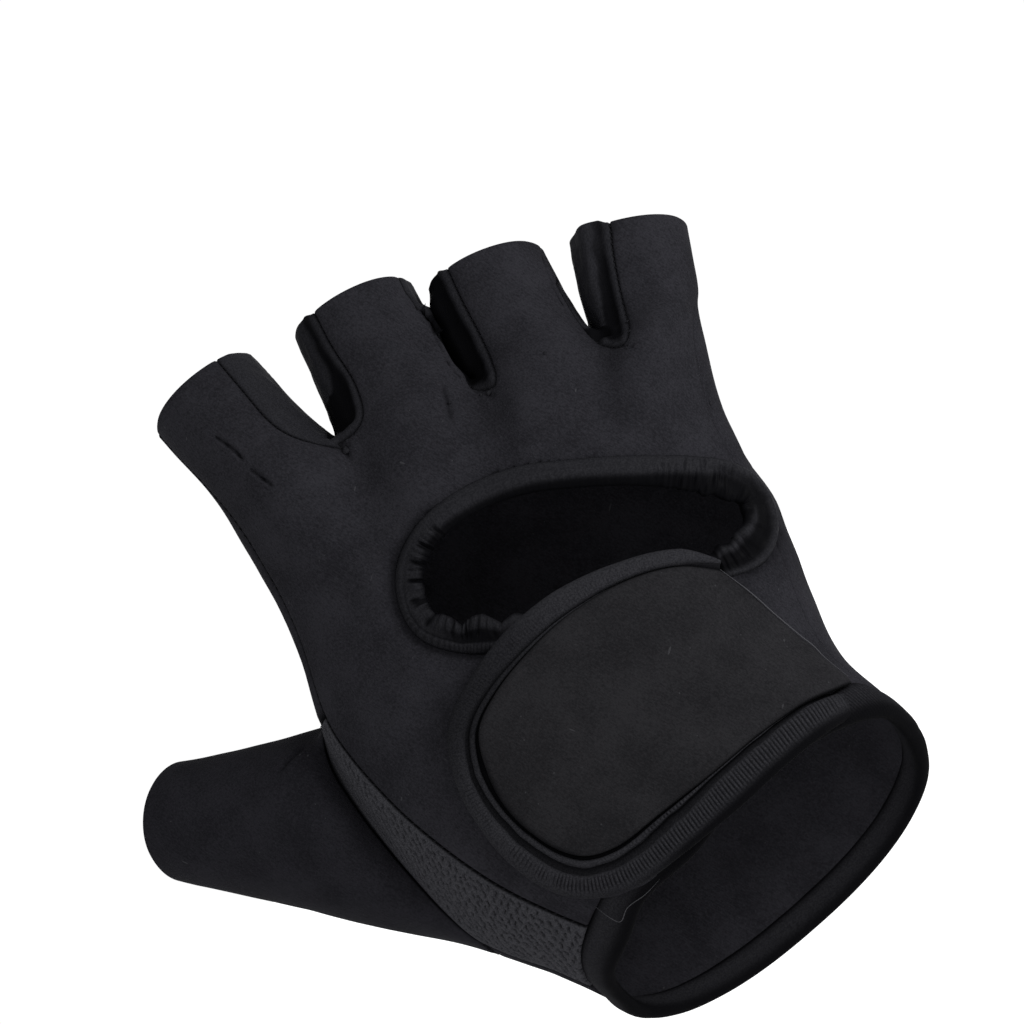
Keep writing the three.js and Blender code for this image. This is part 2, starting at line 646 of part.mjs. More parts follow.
function strapBinding() {
  const edge = [...TAB_EDGE].reverse();
  const middleHeight = (x, z) => tabLow(x, z) + STRAP_BAND.thickness / 2;
  const offset = STRAP_BAND.width / 2 + SEAM_GAP;
  const stops = bandStops(edge, STRAP_BAND.steps, false, offset, middleHeight);
  return bandGeometry(stops, STRAP_BAND.width, STRAP_BAND.thickness, false);
}

function fasteningPatch() {
  const outline = Array.from({ length: PATCH.steps }, (_, step) => {
    const angle = (2 * Math.PI * step) / PATCH.steps;
    return [
      PATCH.x + signedPower(Math.cos(angle), 0.55) * PATCH.halfWidth,
      PATCH.z + signedPower(Math.sin(angle), 0.55) * PATCH.halfHeight,
    ];
  });
  const low = () => PATCH.lift;
  const high = () => PATCH.lift + PATCH.thickness;
  return outwardGeometry(padGeometry(outline, [PATCH.x, PATCH.z], PATCH.rings, low, high));
}

function openingBinding() {
  const offset = OPENING_BAND.width / 2;
  const middleHeight = () => -WALL / 2;
  const stops = bandStops(OPENING, OPENING_BAND.steps, true, offset, middleHeight);
  return bandGeometry(stops, OPENING_BAND.width, OPENING_BAND.thickness, true);
}

// The plug that is cut out of the back panel for the opening and its binding
function openingPlug() {
  const offset = OPENING_BAND.width + SEAM_GAP;
  const outline = bandStops(OPENING, OPENING_BAND.steps, true, offset, () => 0).map(({ point }) => [point.x, point.z]);
  const depth = 5;
  return outwardGeometry(padGeometry(outline, [4, 62], 4, () => -depth, () => depth));
}

function wristBinding() {
  const stops = Array.from({ length: HEM.steps }, (_, step) => {
    const degrees = (360 * step) / HEM.steps;
    const edge = ringPointAtAngle(bodyRow(0), degrees);
    const across = edge.clone().sub(ringPointAtAngle(bodyRow(0.5), degrees)).normalize();
    const ahead = ringPointAtAngle(bodyRow(0), degrees + 2).sub(ringPointAtAngle(bodyRow(0), degrees - 2));
    const normal = new THREE.Vector3().crossVectors(ahead, across).normalize();
    const point = edge.addScaledVector(across, HEM.width / 2 + HEM.gap).addScaledVector(normal, -WALL / 2);
    return { point, across, normal };
  });
  return bandGeometry(stops, HEM.width, HEM.thickness, true);
}

function toSolid(wasm, geometry) {
  const mesh = new wasm.Mesh({
    numProp: 3,
    vertProperties: Float32Array.from(geometry.getAttribute('position').array),
    triVerts: Uint32Array.from(geometry.getIndex().array),
  });
  return new wasm.Manifold(mesh);
}

function fromSolid(solid) {
  const mesh = solid.getMesh();
  const geometry = new THREE.BufferGeometry();
  geometry.setAttribute('position', new THREE.Float32BufferAttribute(Array.from(mesh.vertProperties), 3));
  geometry.setIndex(Array.from(mesh.triVerts));
  return geometry;
}

const cloth = { color: 0x222226, roughness: 0.92, metalness: 0 };
const lycra = { color: 0x17171a, roughness: 0.55, metalness: 0 };
const tape = { color: 0x1b1b1e, roughness: 0.7, metalness: 0 };
const netting = { color: 0x26262a, roughness: 0.9, metalness: 0 };
const hook = { color: 0x141416, roughness: 0.95, metalness: 0 };

const glove = new THREE.Group();

function addPiece(name, geometry, finish) {
  const mesh = new THREE.Mesh(geometry, new THREE.MeshStandardMaterial(finish));
  mesh.name = name;
  glove.add(mesh);
}

const wasm = await Module();
wasm.setup();

let surface = buildCage();
for (let round = 0; round < SUBDIVISIONS; round += 1) surface = subdivide(surface);
const normals = surfaceNormals(surface);

// The opening reaches round the little-finger edge, so it is cut out of both panels there
const plug = toSolid(wasm, openingPlug());
for (const name of ['back_panel', 'palm_panel']) {
  const panel = toSolid(wasm, panelGeometry(surface, normals, name));
  addPiece(name, fromSolid(panel.subtract(plug)), cloth);
}
addPiece('thumb_sleeve', panelGeometry(surface, normals, 'thumb_sleeve'), cloth);
addPiece('side_mesh', panelGeometry(surface, normals, 'side_mesh'), netting);
for (const name of ['fourchette_index_middle', 'fourchette_middle_ring', 'fourchette_ring_little']) {
  addPiece(name, panelGeometry(surface, normals, name, FOURCHETTE_WALL), lycra);
}
addPiece('opening_binding', openingBinding(), lycra);
addPiece('strap_tab', strapTab(), cloth);
addPiece('strap_binding', strapBinding(), tape);
addPiece('closure_patch', fasteningPatch(), hook);
addPiece('wrist_binding', wristBinding(), tape);

export default glove;
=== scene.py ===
# Short-fingered fitness glove, dressed for rendering. Sizes are in millimetres, in the frame of the packed
# model: fingers up (+Z), back of the hand towards -Y, thumb towards -X. MM turns them into metres
import math

import bpy
import numpy as np
from mathutils import Matrix, Vector, noise
from mathutils.bvhtree import BVHTree


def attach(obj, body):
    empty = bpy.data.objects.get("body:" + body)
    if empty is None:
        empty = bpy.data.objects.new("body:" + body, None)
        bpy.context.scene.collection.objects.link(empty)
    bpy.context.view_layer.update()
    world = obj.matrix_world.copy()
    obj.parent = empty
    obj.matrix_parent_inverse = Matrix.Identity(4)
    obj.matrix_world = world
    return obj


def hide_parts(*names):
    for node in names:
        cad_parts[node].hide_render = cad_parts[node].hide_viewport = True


MM = 0.001
WALL = 1.5
GUSSET_WALL = 1.1
SEAM_GAP = 0.3
SECTION_POWER = 2.3
FINGER_POWER = 2.15
BACK_COLUMNS = 16
COLUMNS = 38
SIDE_LIMIT = 0.985

# The hand's body, one row for each ring from the wrist to the webs
BODY_COLUMNS = (
    "x_thumb", "x_little", "z_thumb", "z_little", "z_back", "z_palm", "y_mid", "half_depth", "x_seam",
)
BODY = np.array([
    (-37.0, 34.2, 1.5, 8.0, 17.5, -10.0, 0.0, 20.0, -30.5),
    (-41.0, 33.4, 8.0, 13.0, 22.5, -1.0, 0.5, 20.0, -34.0),
    (-47.0, 31.2, 15.5, 20.0, 29.0, 8.0, 1.0, 19.5, -38.0),
    (-48.6, 33.0, 27.0, 31.0, 38.0, 20.0, 2.0, 19.0, -41.6),
    (-49.6, 36.6, 39.0, 42.0, 47.0, 33.0, 3.0, 18.5, -44.8),
    (-50.0, 37.9, 51.0, 53.0, 57.0, 46.0, 4.0, 17.5, -46.4),
    (-48.4, 38.8, 62.5, 63.0, 67.0, 59.0, 5.0, 16.5, -47.6),
    (-41.5, 42.2, 76.5, 73.0, 79.0, 74.0, 6.0, 15.5, -41.2),
    (-39.3, 47.4, 97.0, 84.0, 92.0, 92.0, 8.0, 14.0, -39.2),
])
LITTLE_SEAM_INSET = 1.8
PALM_EDGE_THUMB_SIDE = 3.2
PALM_EDGE_LITTLE_SIDE = 2.4

# The webs between neighbouring fingers: x, y and z at the back, y and z at the palm
WEBS = [
    (-16.4, 0.0, 100.6, 15.0, 101.5),
    (8.0, 0.0, 94.0, 17.0, 97.5),
    (29.6, 1.0, 87.6, 17.0, 92.0),
]
WEB_DIP = 2.0
INDEX_ROOT = [(-39.2, 3.0, 98.0), (-39.9, 7.0, 98.0), (-39.9, 10.5, 98.0), (-37.5, 15.0, 98.0)]
LITTLE_ROOT = [(46.0, 3.0, 83.8), (47.2, 6.5, 84.0), (47.0, 10.0, 84.3), (45.2, 13.5, 84.5)]
ROOT_INDEX_Z = 97.5
ROOT_LITTLE_BACK_Z = 83.0
ROOT_LITTLE_PALM_Z = 84.0
KNUCKLE = {"y_back": -1.5, "bulge_back": 5.5, "rise": 1.0, "y_palm": 17.0, "bulge_palm": 4.0}

# Finger sleeves, from the index finger on. Seams are angles round the section, 0 = little-finger side and
# 90 = back. Each row of a sleeve is x, y, z, half width, half depth, lift of the back edge to the tip, and
# turn of the seam beside its neighbour. A turning is how much of that turn each column takes
FAR_SEAM_TURNING = {3: 0.6, 4: 1.0, 5: 0.6}
NEAR_SEAM_TURNING = {12: 0.3, 13: 0.6, 0: 1.0, 1: 0.6, 2: 0.3}
FINGERS = [
    {"lean": (-0.08, 0.997), "turning": FAR_SEAM_TURNING, "seams": (177, 58, -35, -150),
     "rows": [(-28.4, 8.0, 106.0, 11.0, 9.6, 1.0, 8), (-29.4, 10.0, 113.0, 10.8, 9.4, 2.4, 2),
              (-30.3, 13.0, 120.3, 10.8, 9.2, 4.0, 0)]},
    {"lean": (0.13, 0.99), "turning": NEAR_SEAM_TURNING, "seams": (123, 20, -46, -160),
     "rows": [(-4.4, 8.5, 102.5, 11.6, 9.8, 1.6, -22), (-2.9, 10.5, 109.5, 11.4, 9.6, 3.0, -10),
              (-1.4, 13.0, 116.4, 11.2, 9.3, 4.4, 0)]},
    {"lean": (0.23, 0.97), "turning": NEAR_SEAM_TURNING, "seams": (119, 20, -46, -160),
     "rows": [(18.6, 9.0, 96.5, 11.2, 9.6, 1.6, -20), (20.0, 11.0, 103.0, 10.9, 9.4, 2.8, -9),
              (21.0, 13.0, 109.0, 10.6, 9.2, 4.0, 0)]},
    {"lean": (0.42, 0.9), "turning": NEAR_SEAM_TURNING, "seams": (108, -8, -50, -160),
     "rows": [(39.2, 9.0, 89.0, 10.6, 9.2, 1.6, -18), (41.6, 10.5, 94.5, 10.7, 9.0, 2.4, -8),
              (44.2, 12.0, 99.8, 10.6, 8.8, 3.2, 0)]},
]
GUSSETS = ("fourchette_index_middle", "fourchette_middle_ring", "fourchette_ring_little")
PIECES = ("back_panel", "palm_panel", "thumb_sleeve", "side_mesh") + GUSSETS

# Thumb sleeve, base to cuff: x and z of its upper edge, x and z of its lower edge, y, half depth, lift
THUMB = [
    (-51.5, 64.9, -55.0, 23.5, 11.0, 13.5, 1.5),
    (-57.5, 66.9, -64.3, 34.0, 15.0, 13.0, 3.0),
    (-64.0, 69.2, -73.2, 44.3, 20.0, 12.0, 5.0),
    (-70.3, 72.0, -82.6, 54.6, 24.5, 10.6, 7.2),
]
THUMB_LEAN = (-0.8, 0.6)
THUMB_ROWS = (2, 6)
THUMB_COLUMNS = (32, 36)
MESH_LAST_ROW = 6
MESH_FIRST_COLUMN = 36

# Inner edge of the opening over the back, x and z, clockwise from its thumb end, with the binding's width,
# the share of that width, from the inner edge, that is painted in shade under the roll, and how deep the
# valley beside it is and how dark its painted shade
OPENING = np.array([
    (-20.0, 67.3, 5.0, 0.05, 0.35), (-18.4, 73.0, 5.0, 0.12, 0.2), (-13.6, 76.4, 4.9, 0.3, 0.0),
    (-5.0, 77.2, 5.0, 0.26, 0.0), (3.4, 75.0, 5.0, 0.3, 0.0), (11.8, 70.4, 5.0, 0.36, 0.0),
    (19.8, 65.0, 5.3, 0.36, 0.0), (26.8, 58.6, 6.6, 0.48, 0.0), (31.4, 52.4, 7.8, 0.58, 0.8),
    (30.0, 48.8, 7.2, 0.1, 1.0), (22.0, 49.0, 5.2, 0.3, 0.9), (12.4, 52.0, 4.4, 0.5, 0.0),
    (2.4, 54.8, 4.4, 0.5, 0.0), (-7.0, 58.4, 4.8, 0.1, 0.25), (-14.8, 62.8, 6.2, 0.02, 1.0),
])

# Free edge of the strap tab's face, from the opening's little-finger end round the thumb end to the hem
TAB_EDGE = [
    (22.4, 45.2), (17.6, 49.3), (9.0, 52.6), (-1.6, 53.7), (-11.0, 52.6), (-19.9, 50.0), (-25.2, 46.7),
    (-27.8, 40.9), (-28.8, 34.0), (-27.2, 26.2), (-23.2, 20.4), (-17.8, 18.2), (-8.6, 18.2), (2.0, 18.4),
    (12.0, 18.9), (21.0, 18.4), (28.8, 16.6),
]
TAB_THICKNESS = 2.2
TAB_LIFT = 1.7
FOLD_THICKNESS = 1.1
FOLD_LIFT = 0.35
FOLD_RAMP = 9.0


def smoothstep(value, low, high):
    t = np.clip((np.asarray(value, float) - low) / (high - low), 0.0, 1.0)
    return t * t * (3 - 2 * t)


def signed_power(value, power):
    return np.sign(value) * np.abs(value) ** power


def unit(vectors):
    vectors = np.asarray(vectors, float)
    return vectors / np.maximum(np.linalg.norm(vectors, axis=-1, keepdims=True), 1e-12)


def noise_at(points, size, seed=0.0):
    """Smooth noise from -1 to 1 at points in millimetres, with features of the given size."""
    shift = Vector((seed * 17.3, seed * 5.1, seed * 9.7))
    return np.array([noise.noise(Vector(p) / size + shift) for p in points])


def bell(value, width, power=2):
    """1 where the value is nought, falling to 0 beyond the width on both sides."""
    return np.exp(-(value / width) ** power)


def turns(count):
    return np.arange(count) * 2 * math.pi / count


def circle(count):
    return np.stack([np.cos(turns(count)), np.sin(turns(count))], axis=1)


def in_space(flat):
    """Points of the x-z plane as points in space."""
    return np.column_stack([flat[:, 0], np.zeros(len(flat)), flat[:, 1]])


def from_ends(count):
    """How many steps each point of a line is from its nearer end."""
    return np.minimum(np.arange(count), np.arange(count)[::-1])


def lengths_along(path):
    """How far along a path each of its points lies."""
    return np.concatenate([[0], np.cumsum(np.linalg.norm(np.diff(path, axis=0), axis=1))])


def read_along(values, distance, wanted):
    return np.stack([np.interp(wanted, distance, column) for column in values.T], axis=1)


# The cage that the part's source is built from


def body_row(number):
    first = int(min(max(math.floor(number), 0), len(BODY) - 2))
    row = BODY[first] + (BODY[first + 1] - BODY[first]) * (number - first)
    return dict(zip(BODY_COLUMNS, row))


def span_of(row):
    """Middle and half width of a ring."""
    return (row["x_thumb"] + row["x_little"]) / 2, (row["x_little"] - row["x_thumb"]) / 2


def ring_point(row, across, back):
    """Across is -1 at the thumb side and 1 at the other, back is 1 at the back and -1 at the palm."""
    centre, half = span_of(row)
    side_height = (row["z_thumb"] + row["z_little"]) / 2
    slope = row["z_thumb"] + (row["z_little"] - row["z_thumb"]) * (across + 1) / 2
    lean = row["z_back"] - side_height if back > 0 else side_height - row["z_palm"]
    return (centre + half * across, row["y_mid"] - row["half_depth"] * back, slope + lean * back)


def ring_point_at_x(row, x, side):
    centre, half = span_of(row)
    across = min(max((x - centre) / half, -1), 1)
    return ring_point(row, across, side * (1 - abs(across) ** SECTION_POWER) ** (1 / SECTION_POWER))


def ring_point_at_angle(row, degrees):
    angle = math.radians(degrees)
    across = float(signed_power(math.cos(angle), 2 / SECTION_POWER))
    return ring_point(row, across, float(signed_power(math.sin(angle), 2 / SECTION_POWER)))


def body_ring(row):
    """Columns 0 to 16 are over the back, 17 and 18 down the side, 19 to 35 over the palm, 36 and 37 up."""
    shares = np.linspace(0, 1, BACK_COLUMNS + 1)
    back_right = row["x_little"] - LITTLE_SEAM_INSET
    palm_left = row["x_thumb"] + PALM_EDGE_THUMB_SIDE
    palm_right = row["x_little"] - PALM_EDGE_LITTLE_SIDE
    ring = [ring_point_at_x(row, row["x_seam"] + (back_right - row["x_seam"]) * t, 1) for t in shares]
    ring += [ring_point_at_angle(row, 4), ring_point_at_angle(row, -8)]
    ring += [ring_point_at_x(row, palm_right + (palm_left - palm_right) * t, -1) for t in shares]
    centre, half = span_of(row)
    seam_angle = math.degrees(math.acos(max((row["x_seam"] - centre) / half, -1)))
    return ring + [ring_point_at_angle(row, 182), ring_point_at_angle(row, (seam_angle + 182) / 2)]


def palm_column(column):
    return 19 + BACK_COLUMNS - column


def finger_section(finger, section):
    """Fourteen points: five over the back, two down the side, five over the palm, two up the side."""
    x, y, z, half_width, half_depth, lift, turn = section
    back_left, back_right, palm_right, palm_left = finger["seams"]
    angles = [back_left + (back_right - back_left) * k / 4 for k in range(5)]
    angles += [back_right + (palm_right - back_right) * k / 3 for k in (1, 2)]
    angles += [palm_right + (palm_left - palm_right) * k / 4 for k in range(5)]
    angles += [palm_left + (back_left - 360 - palm_left) * k / 3 for k in (1, 2)]
    lean_x, lean_z = finger["lean"]
    ring = []
    for side, degrees in enumerate(angles):
        angle = math.radians(degrees + turn * finger["turning"].get(side, 0))
        across = float(signed_power(math.cos(angle), 2 / FINGER_POWER)) * half_width
        back = float(signed_power(math.sin(angle), 2 / FINGER_POWER))
        ring.append((
            x + across * lean_z + lift * back * lean_x,
            y - half_depth * back,
            z - across * lean_x + lift * back * lean_z,
        ))
    return ring


def finger_piece(index, side):
    if side < 4:
        return "back_panel"
    if side < 7:
        return GUSSETS[index] if index < 3 else "palm_panel"
    if side < 11:
        return "palm_panel"
    return GUSSETS[index - 1] if index > 0 else "palm_panel"


def thumb_section(section, count):
    x_top, z_top, x_low, z_low, y, half_depth, lift = section
    half_height = math.hypot(x_top - x_low, z_top - z_low) / 2
    ring = []
    for side in range(count):
        angle = math.radians(45 + 360 * side / count)
        up = math.cos(angle) * half_height
        near = math.sin(angle)
        ring.append((
            (x_top + x_low) / 2 + up * (x_top - x_low) / 2 / half_height + lift * near * THUMB_LEAN[0],
            y - half_depth * near,
            (z_top + z_low) / 2 + up * (z_top - z_low) / 2 / half_height + lift * near * THUMB_LEAN[1],
        ))
    return ring


def set_roots(points, top):
    """Moves the body's last ring to the knuckles, the webs and the outer sides of the fingers' roots."""
    last = dict(zip(BODY_COLUMNS, BODY[-1]))
    root_x = [last["x_seam"], *[web[0] for web in WEBS], last["x_little"] - LITTLE_SEAM_INSET]
    root_back = [ROOT_INDEX_Z, *[web[2] for web in WEBS], ROOT_LITTLE_BACK_Z]
    root_palm = [ROOT_INDEX_Z, *[web[4] for web in WEBS], ROOT_LITTLE_PALM_Z]
    for finger in range(4):
        for step in range(5):
            t = step / 4
            bulge = math.sin(math.pi * t)
            x, z_back, z_palm = (ends[finger] + (ends[finger + 1] - ends[finger]) * t
                                 for ends in (root_x, root_back, root_palm))
            z_back += KNUCKLE["rise"] * bulge
            column = 4 * finger + step
            points[top[column]] = (x, KNUCKLE["y_back"] - KNUCKLE["bulge_back"] * bulge, z_back)
            points[top[palm_column(column)]] = (x, KNUCKLE["y_palm"] + KNUCKLE["bulge_palm"] * bulge, z_palm)
    for index, (x, y_back, z_back, y_palm, z_palm) in enumerate(WEBS):
        points[top[4 * index + 4]] = (x, y_back, z_back)
        points[top[palm_column(4 * index + 4)]] = (x, y_palm, z_palm)
    for column, point in zip((0, 37, 36, 35, 16, 17, 18, 19), INDEX_ROOT + LITTLE_ROOT):
        points[top[column]] = point


def thumb_hole(rings):
    """The points round the hole in the body from which the thumb's sleeve starts."""
    first_row, last_row = THUMB_ROWS
    first_column, last_column = THUMB_COLUMNS
    hole = [rings[row][last_column] for row in range(last_row, first_row, -1)]
    hole += [rings[first_row][column] for column in range(last_column, first_column, -1)]
    hole += [rings[row][first_column] for row in range(first_row, last_row)]
    hole += [rings[last_row][column] for column in range(first_column, last_column)]
    return hole


def build_cage():
    points, quads, pieces = [], [], []

    def add(point):
        points.append(point)
        return len(points) - 1

    def add_quad(piece, corners):
        quads.append(corners)
        pieces.append(piece)

    rings = [[add(point) for point in body_ring(dict(zip(BODY_COLUMNS, row)))] for row in BODY]
    top = rings[-1]
    set_roots(points, top)
    web_points = [
        [add((x, y_back + (y_palm - y_back) * t,
              z_back + (z_palm - z_back) * t - WEB_DIP * math.sin(math.pi * t))) for t in (1 / 3, 2 / 3)]
        for x, y_back, z_back, y_palm, z_palm in WEBS
    ]
    for row in range(len(BODY) - 1):
        for column in range(COLUMNS):
            after = (column + 1) % COLUMNS
            in_rows = THUMB_ROWS[0] <= row < THUMB_ROWS[1]
            if in_rows and THUMB_COLUMNS[0] <= column < THUMB_COLUMNS[1]:
                continue
            piece = "back_panel" if column < BACK_COLUMNS else "palm_panel"
            if column >= MESH_FIRST_COLUMN and row < MESH_LAST_ROW:
                piece = "side_mesh"
            corners = (rings[row][column], rings[row][after], rings[row + 1][after], rings[row + 1][column])
            add_quad(piece, corners)
    for index, finger in enumerate(FINGERS):
        back = [top[4 * index + step] for step in range(5)]
        palm = [top[palm_column(4 * index + step)] for step in (4, 3, 2, 1, 0)]
        little_side = web_points[index] if index < 3 else [top[17], top[18]]
        thumb_side = web_points[index - 1][::-1] if index > 0 else [top[36], top[37]]
        before = [*back, *little_side, *palm, *thumb_side]
        for section in finger["rows"]:
            ring = [add(point) for point in finger_section(finger, section)]
            for side in range(len(ring)):
                after = (side + 1) % len(ring)
                add_quad(finger_piece(index, side), (before[side], before[after], ring[after], ring[side]))
            before = ring
    before = thumb_hole(rings)
    for section in THUMB:
        ring = [add(point) for point in thumb_section(section, len(before))]
        for side in range(len(ring)):
            after = (side + 1) % len(ring)
            add_quad("thumb_sleeve", (before[after], before[side], ring[side], ring[after]))
        before = ring
    return np.array(points, float), np.array(quads), np.array(pieces)


def quad_edges(quads):
    """The mesh's edges, the edge of each quad's four sides, and how many quads each edge has."""
    sides = np.sort(np.stack([quads, np.roll(quads, -1, axis=1)], axis=2), axis=2).reshape(-1, 2)
    edges, edge_of, uses = np.unique(sides, axis=0, return_inverse=True, return_counts=True)
    return edges, edge_of.reshape(-1, 4), uses


def subdivide(points, quads, pieces):
    """One round of smooth (Catmull-Clark) subdivision."""
    edges, edge_of, uses = quad_edges(quads)
    centres = points[quads].mean(axis=1)
    middles = points[edges].mean(axis=1)
    beside = np.zeros_like(middles)
    np.add.at(beside, edge_of.ravel(), np.repeat(centres, 4, axis=0))
    on_rim = uses == 1
    edge_points = np.where(on_rim[:, None], middles, (2 * middles + beside) / 4)
    count = len(points)
    valence = np.bincount(quads.ravel(), minlength=count)[:, None].astype(float)
    face_sum = np.zeros_like(points)
    np.add.at(face_sum, quads.ravel(), np.repeat(centres, 4, axis=0))
    edge_sum = np.zeros_like(points)
    edge_count = np.zeros((count, 1))
    rim_sum = np.zeros_like(points)
    rim_count = np.zeros(count)
    for end in (0, 1):
        np.add.at(edge_sum, edges[:, end], middles)
        np.add.at(edge_count, edges[:, end], 1)
        np.add.at(rim_sum, edges[on_rim, end], points[edges[on_rim, 1 - end]])
        np.add.at(rim_count, edges[on_rim, end], 1)
    safe = np.maximum(valence, 1)
    corners = (face_sum / safe + 2 * edge_sum / np.maximum(edge_count, 1) + (safe - 3) * points) / safe
    rim = rim_count > 0
    corners[rim] = 0.75 * points[rim] + 0.25 * rim_sum[rim] / rim_count[rim, None]
    first_edge, first_centre = count, count + len(edges)
    index = np.arange(len(quads))
    finer = np.empty((4 * len(quads), 4), int)
    on_edge = first_edge + edge_of
    for side in range(4):
        corner = (quads[:, side], on_edge[:, side], first_centre + index, on_edge[:, side - 1])
        finer[side::4] = np.stack(corner, axis=1)
    return np.vstack([corners, edge_points, centres]), finer, np.repeat(pieces, 4)


def vertex_normals(points, quads):
    a, b, c, d = (points[quads[:, side]] for side in range(4))
    normals = np.zeros_like(points)
    np.add.at(normals, quads.ravel(), np.repeat(np.cross(c - a, d - b), 4, axis=0))
    return unit(normals)


# Places on the back of the glove, by x and z


def back_at(number, x):
    row = body_row(number)
    centre, half = span_of(row)
    reach = half * SIDE_LIMIT
    return ring_point_at_x(row, min(max(x, centre - reach), centre + reach), 1)


# The row of the body at a given z is found by halving, from a little below the first row
FIRST_GUESS = -2.0
HALVINGS = 24
# The grid's points lie where a ray from this far above the back meets the surface
RAY_START = 5
RAY_LENGTH = 10


def back_point(x, z):
    low, high = FIRST_GUESS, float(len(BODY) - 1)
    for _ in range(HALVINGS):
        middle = (low + high) / 2
        if back_at(middle, x)[2] < z:
            low = middle
        else:
            high = middle
    return np.array(back_at((low + high) / 2, x))


def back_normal(x, z, step=0.8):
    across = back_point(x + step, z) - back_point(x - step, z)
    along = back_point(x, z + step) - back_point(x, z - step)
    return unit(np.cross(across, along))


class BackMap:
    """Points and normals of the back at x and z, read from a grid that is worked out once."""

    def __init__(self, surface_tree, x_range=(-52, 44), z_range=(-4, 92), step=1.5):
        self.x = np.arange(x_range[0], x_range[1] + step, step)
        self.z = np.arange(z_range[0], z_range[1] + step, step)
        self.step = step
        points = np.array([[back_point(x, z) for z in self.z] for x in self.x])
        self.normals = np.array([[back_normal(x, z) for z in self.z] for x in self.x])
        for i in range(len(self.x)):
            for j in range(len(self.z)):
                start = points[i, j] + RAY_START * self.normals[i, j]
                hit = surface_tree.ray_cast(Vector(start), Vector(-self.normals[i, j]), RAY_LENGTH)
                if hit[0] is not None:
                    points[i, j] = hit[0]
        self.points = points

    def read(self, grid, x, z):
        u = np.clip((np.asarray(x, float) - self.x[0]) / self.step, 0, len(self.x) - 1.001)
        v = np.clip((np.asarray(z, float) - self.z[0]) / self.step, 0, len(self.z) - 1.001)
        i, j = u.astype(int), v.astype(int)
        s, t = (u - i)[:, None], (v - j)[:, None]
        low = grid[i, j] * (1 - s) + grid[i + 1, j] * s
        high = grid[i, j + 1] * (1 - s) + grid[i + 1, j + 1] * s
        return low * (1 - t) + high * t

    def point(self, x, z):
        return self.read(self.points, x, z)

    def normal(self, x, z):
        return unit(self.read(self.normals, x, z))

    def lifted(self, x, z, height):
        return self.point(x, z) + self.normal(x, z) * np.asarray(height, float).reshape(-1, 1)


# Curves
STEPS_A_SPAN = 40
CHUNK = 4000


def smooth_curve(corners, closed, spacing):
    """Evenly spaced points on a smooth curve through the corners, and their distance along it."""
    corners = np.asarray(corners, float)
    count = len(corners)
    spans = count if closed else count - 1
    dense = []
    for span in range(spans):
        picks = [span - 1, span, span + 1, span + 2]
        if closed:
            p = corners[[pick % count for pick in picks]]
        else:
            p = corners[[min(max(pick, 0), count - 1) for pick in picks]]
        gaps = np.maximum(np.sqrt(np.linalg.norm(np.diff(p[:, :2], axis=0), axis=1)), 1e-6)
        knots = np.concatenate([[0], np.cumsum(gaps)])
        t = np.linspace(knots[1], knots[2], STEPS_A_SPAN, endpoint=False)[:, None]
        a1, a2, a3 = (blend(p[k], p[k + 1], t, knots[k], knots[k + 1]) for k in range(3))
        b1, b2 = blend(a1, a2, t, knots[0], knots[2]), blend(a2, a3, t, knots[1], knots[3])
        dense.append(blend(b1, b2, t, knots[1], knots[2]))
    dense = np.vstack([*dense, corners[:1] if closed else corners[-1:]])
    distance = lengths_along(dense[:, :2])
    steps = max(int(round(distance[-1] / spacing)), 2)
    wanted = np.linspace(0, distance[-1], steps, endpoint=not closed)
    return read_along(dense, distance, wanted), wanted


def blend(a, b, t, low, high):
    return (a * (high - t) + b * (t - low)) / (high - low)


def outward_of(points, closed):
    """Left-hand normals in the x-z plane of a path of (x, z) points."""
    if closed:
        ahead = np.roll(points, -1, axis=0) - np.roll(points, 1, axis=0)
    else:
        ahead = np.gradient(points, axis=0)
    return unit(np.stack([-ahead[:, 1], ahead[:, 0]], axis=1))


def distance_to_path(points, path):
    """Distance from points to the nearest of a path's points, and that point's number."""
    nearest = np.full(len(points), 1e9)
    number = np.zeros(len(points), int)
    for start in range(0, len(points), CHUNK):
        chunk = slice(start, start + CHUNK)
        gaps = np.linalg.norm(points[chunk, None] - path[None], axis=2)
        number[chunk] = gaps.argmin(axis=1)
        nearest[chunk] = gaps.min(axis=1)
    return nearest, number


def inside_outline(points, outline):
    """Which of the points in the x-z plane lie inside a closed outline."""
    inside = np.zeros(len(points), bool)
    a, b = outline, np.roll(outline, -1, axis=0)
    for (x1, z1), (x2, z2) in zip(a, b):
        if z1 == z2:
            continue
        crosses = (z1 > points[:, 1]) != (z2 > points[:, 1])
        x_cross = x1 + (points[:, 1] - z1) * (x2 - x1) / (z2 - z1)
        inside ^= crosses & (points[:, 0] < x_cross)
    return inside


# Meshes


def make_piece(name, points, faces, material, nodes=(), attributes=()):
    """A smooth mesh in metres that rides on the part and stands for the named nodes."""
    mesh = bpy.data.meshes.new(name)
    mesh.from_pydata((np.asarray(points) * MM).tolist(), [], [tuple(int(i) for i in face) for face in faces])
    for key, values in attributes:
        layer = mesh.attributes.new(key, "FLOAT", "POINT")
        layer.data.foreach_set("value", np.asarray(values, np.float32))
    mesh.polygons.foreach_set("use_smooth", [True] * len(mesh.polygons))
    mesh.materials.append(material)
    mesh.update()
    piece = bpy.data.objects.new(name, mesh)
    bpy.context.scene.collection.objects.link(piece)
    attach(piece, "root")
    if nodes:
        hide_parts(*nodes)
    return piece


def facing_out(points, faces):
    """The faces, turned over if they enclose a negative volume."""
    points = np.asarray(points, float)
    volume = 0.0
    for face in faces:
        a = points[face[0]]
        for second, third in zip(face[1:-1], face[2:]):
            volume += float(np.dot(a, np.cross(points[second], points[third])))
    return faces if volume > 0 else [tuple(face)[::-1] for face in faces]


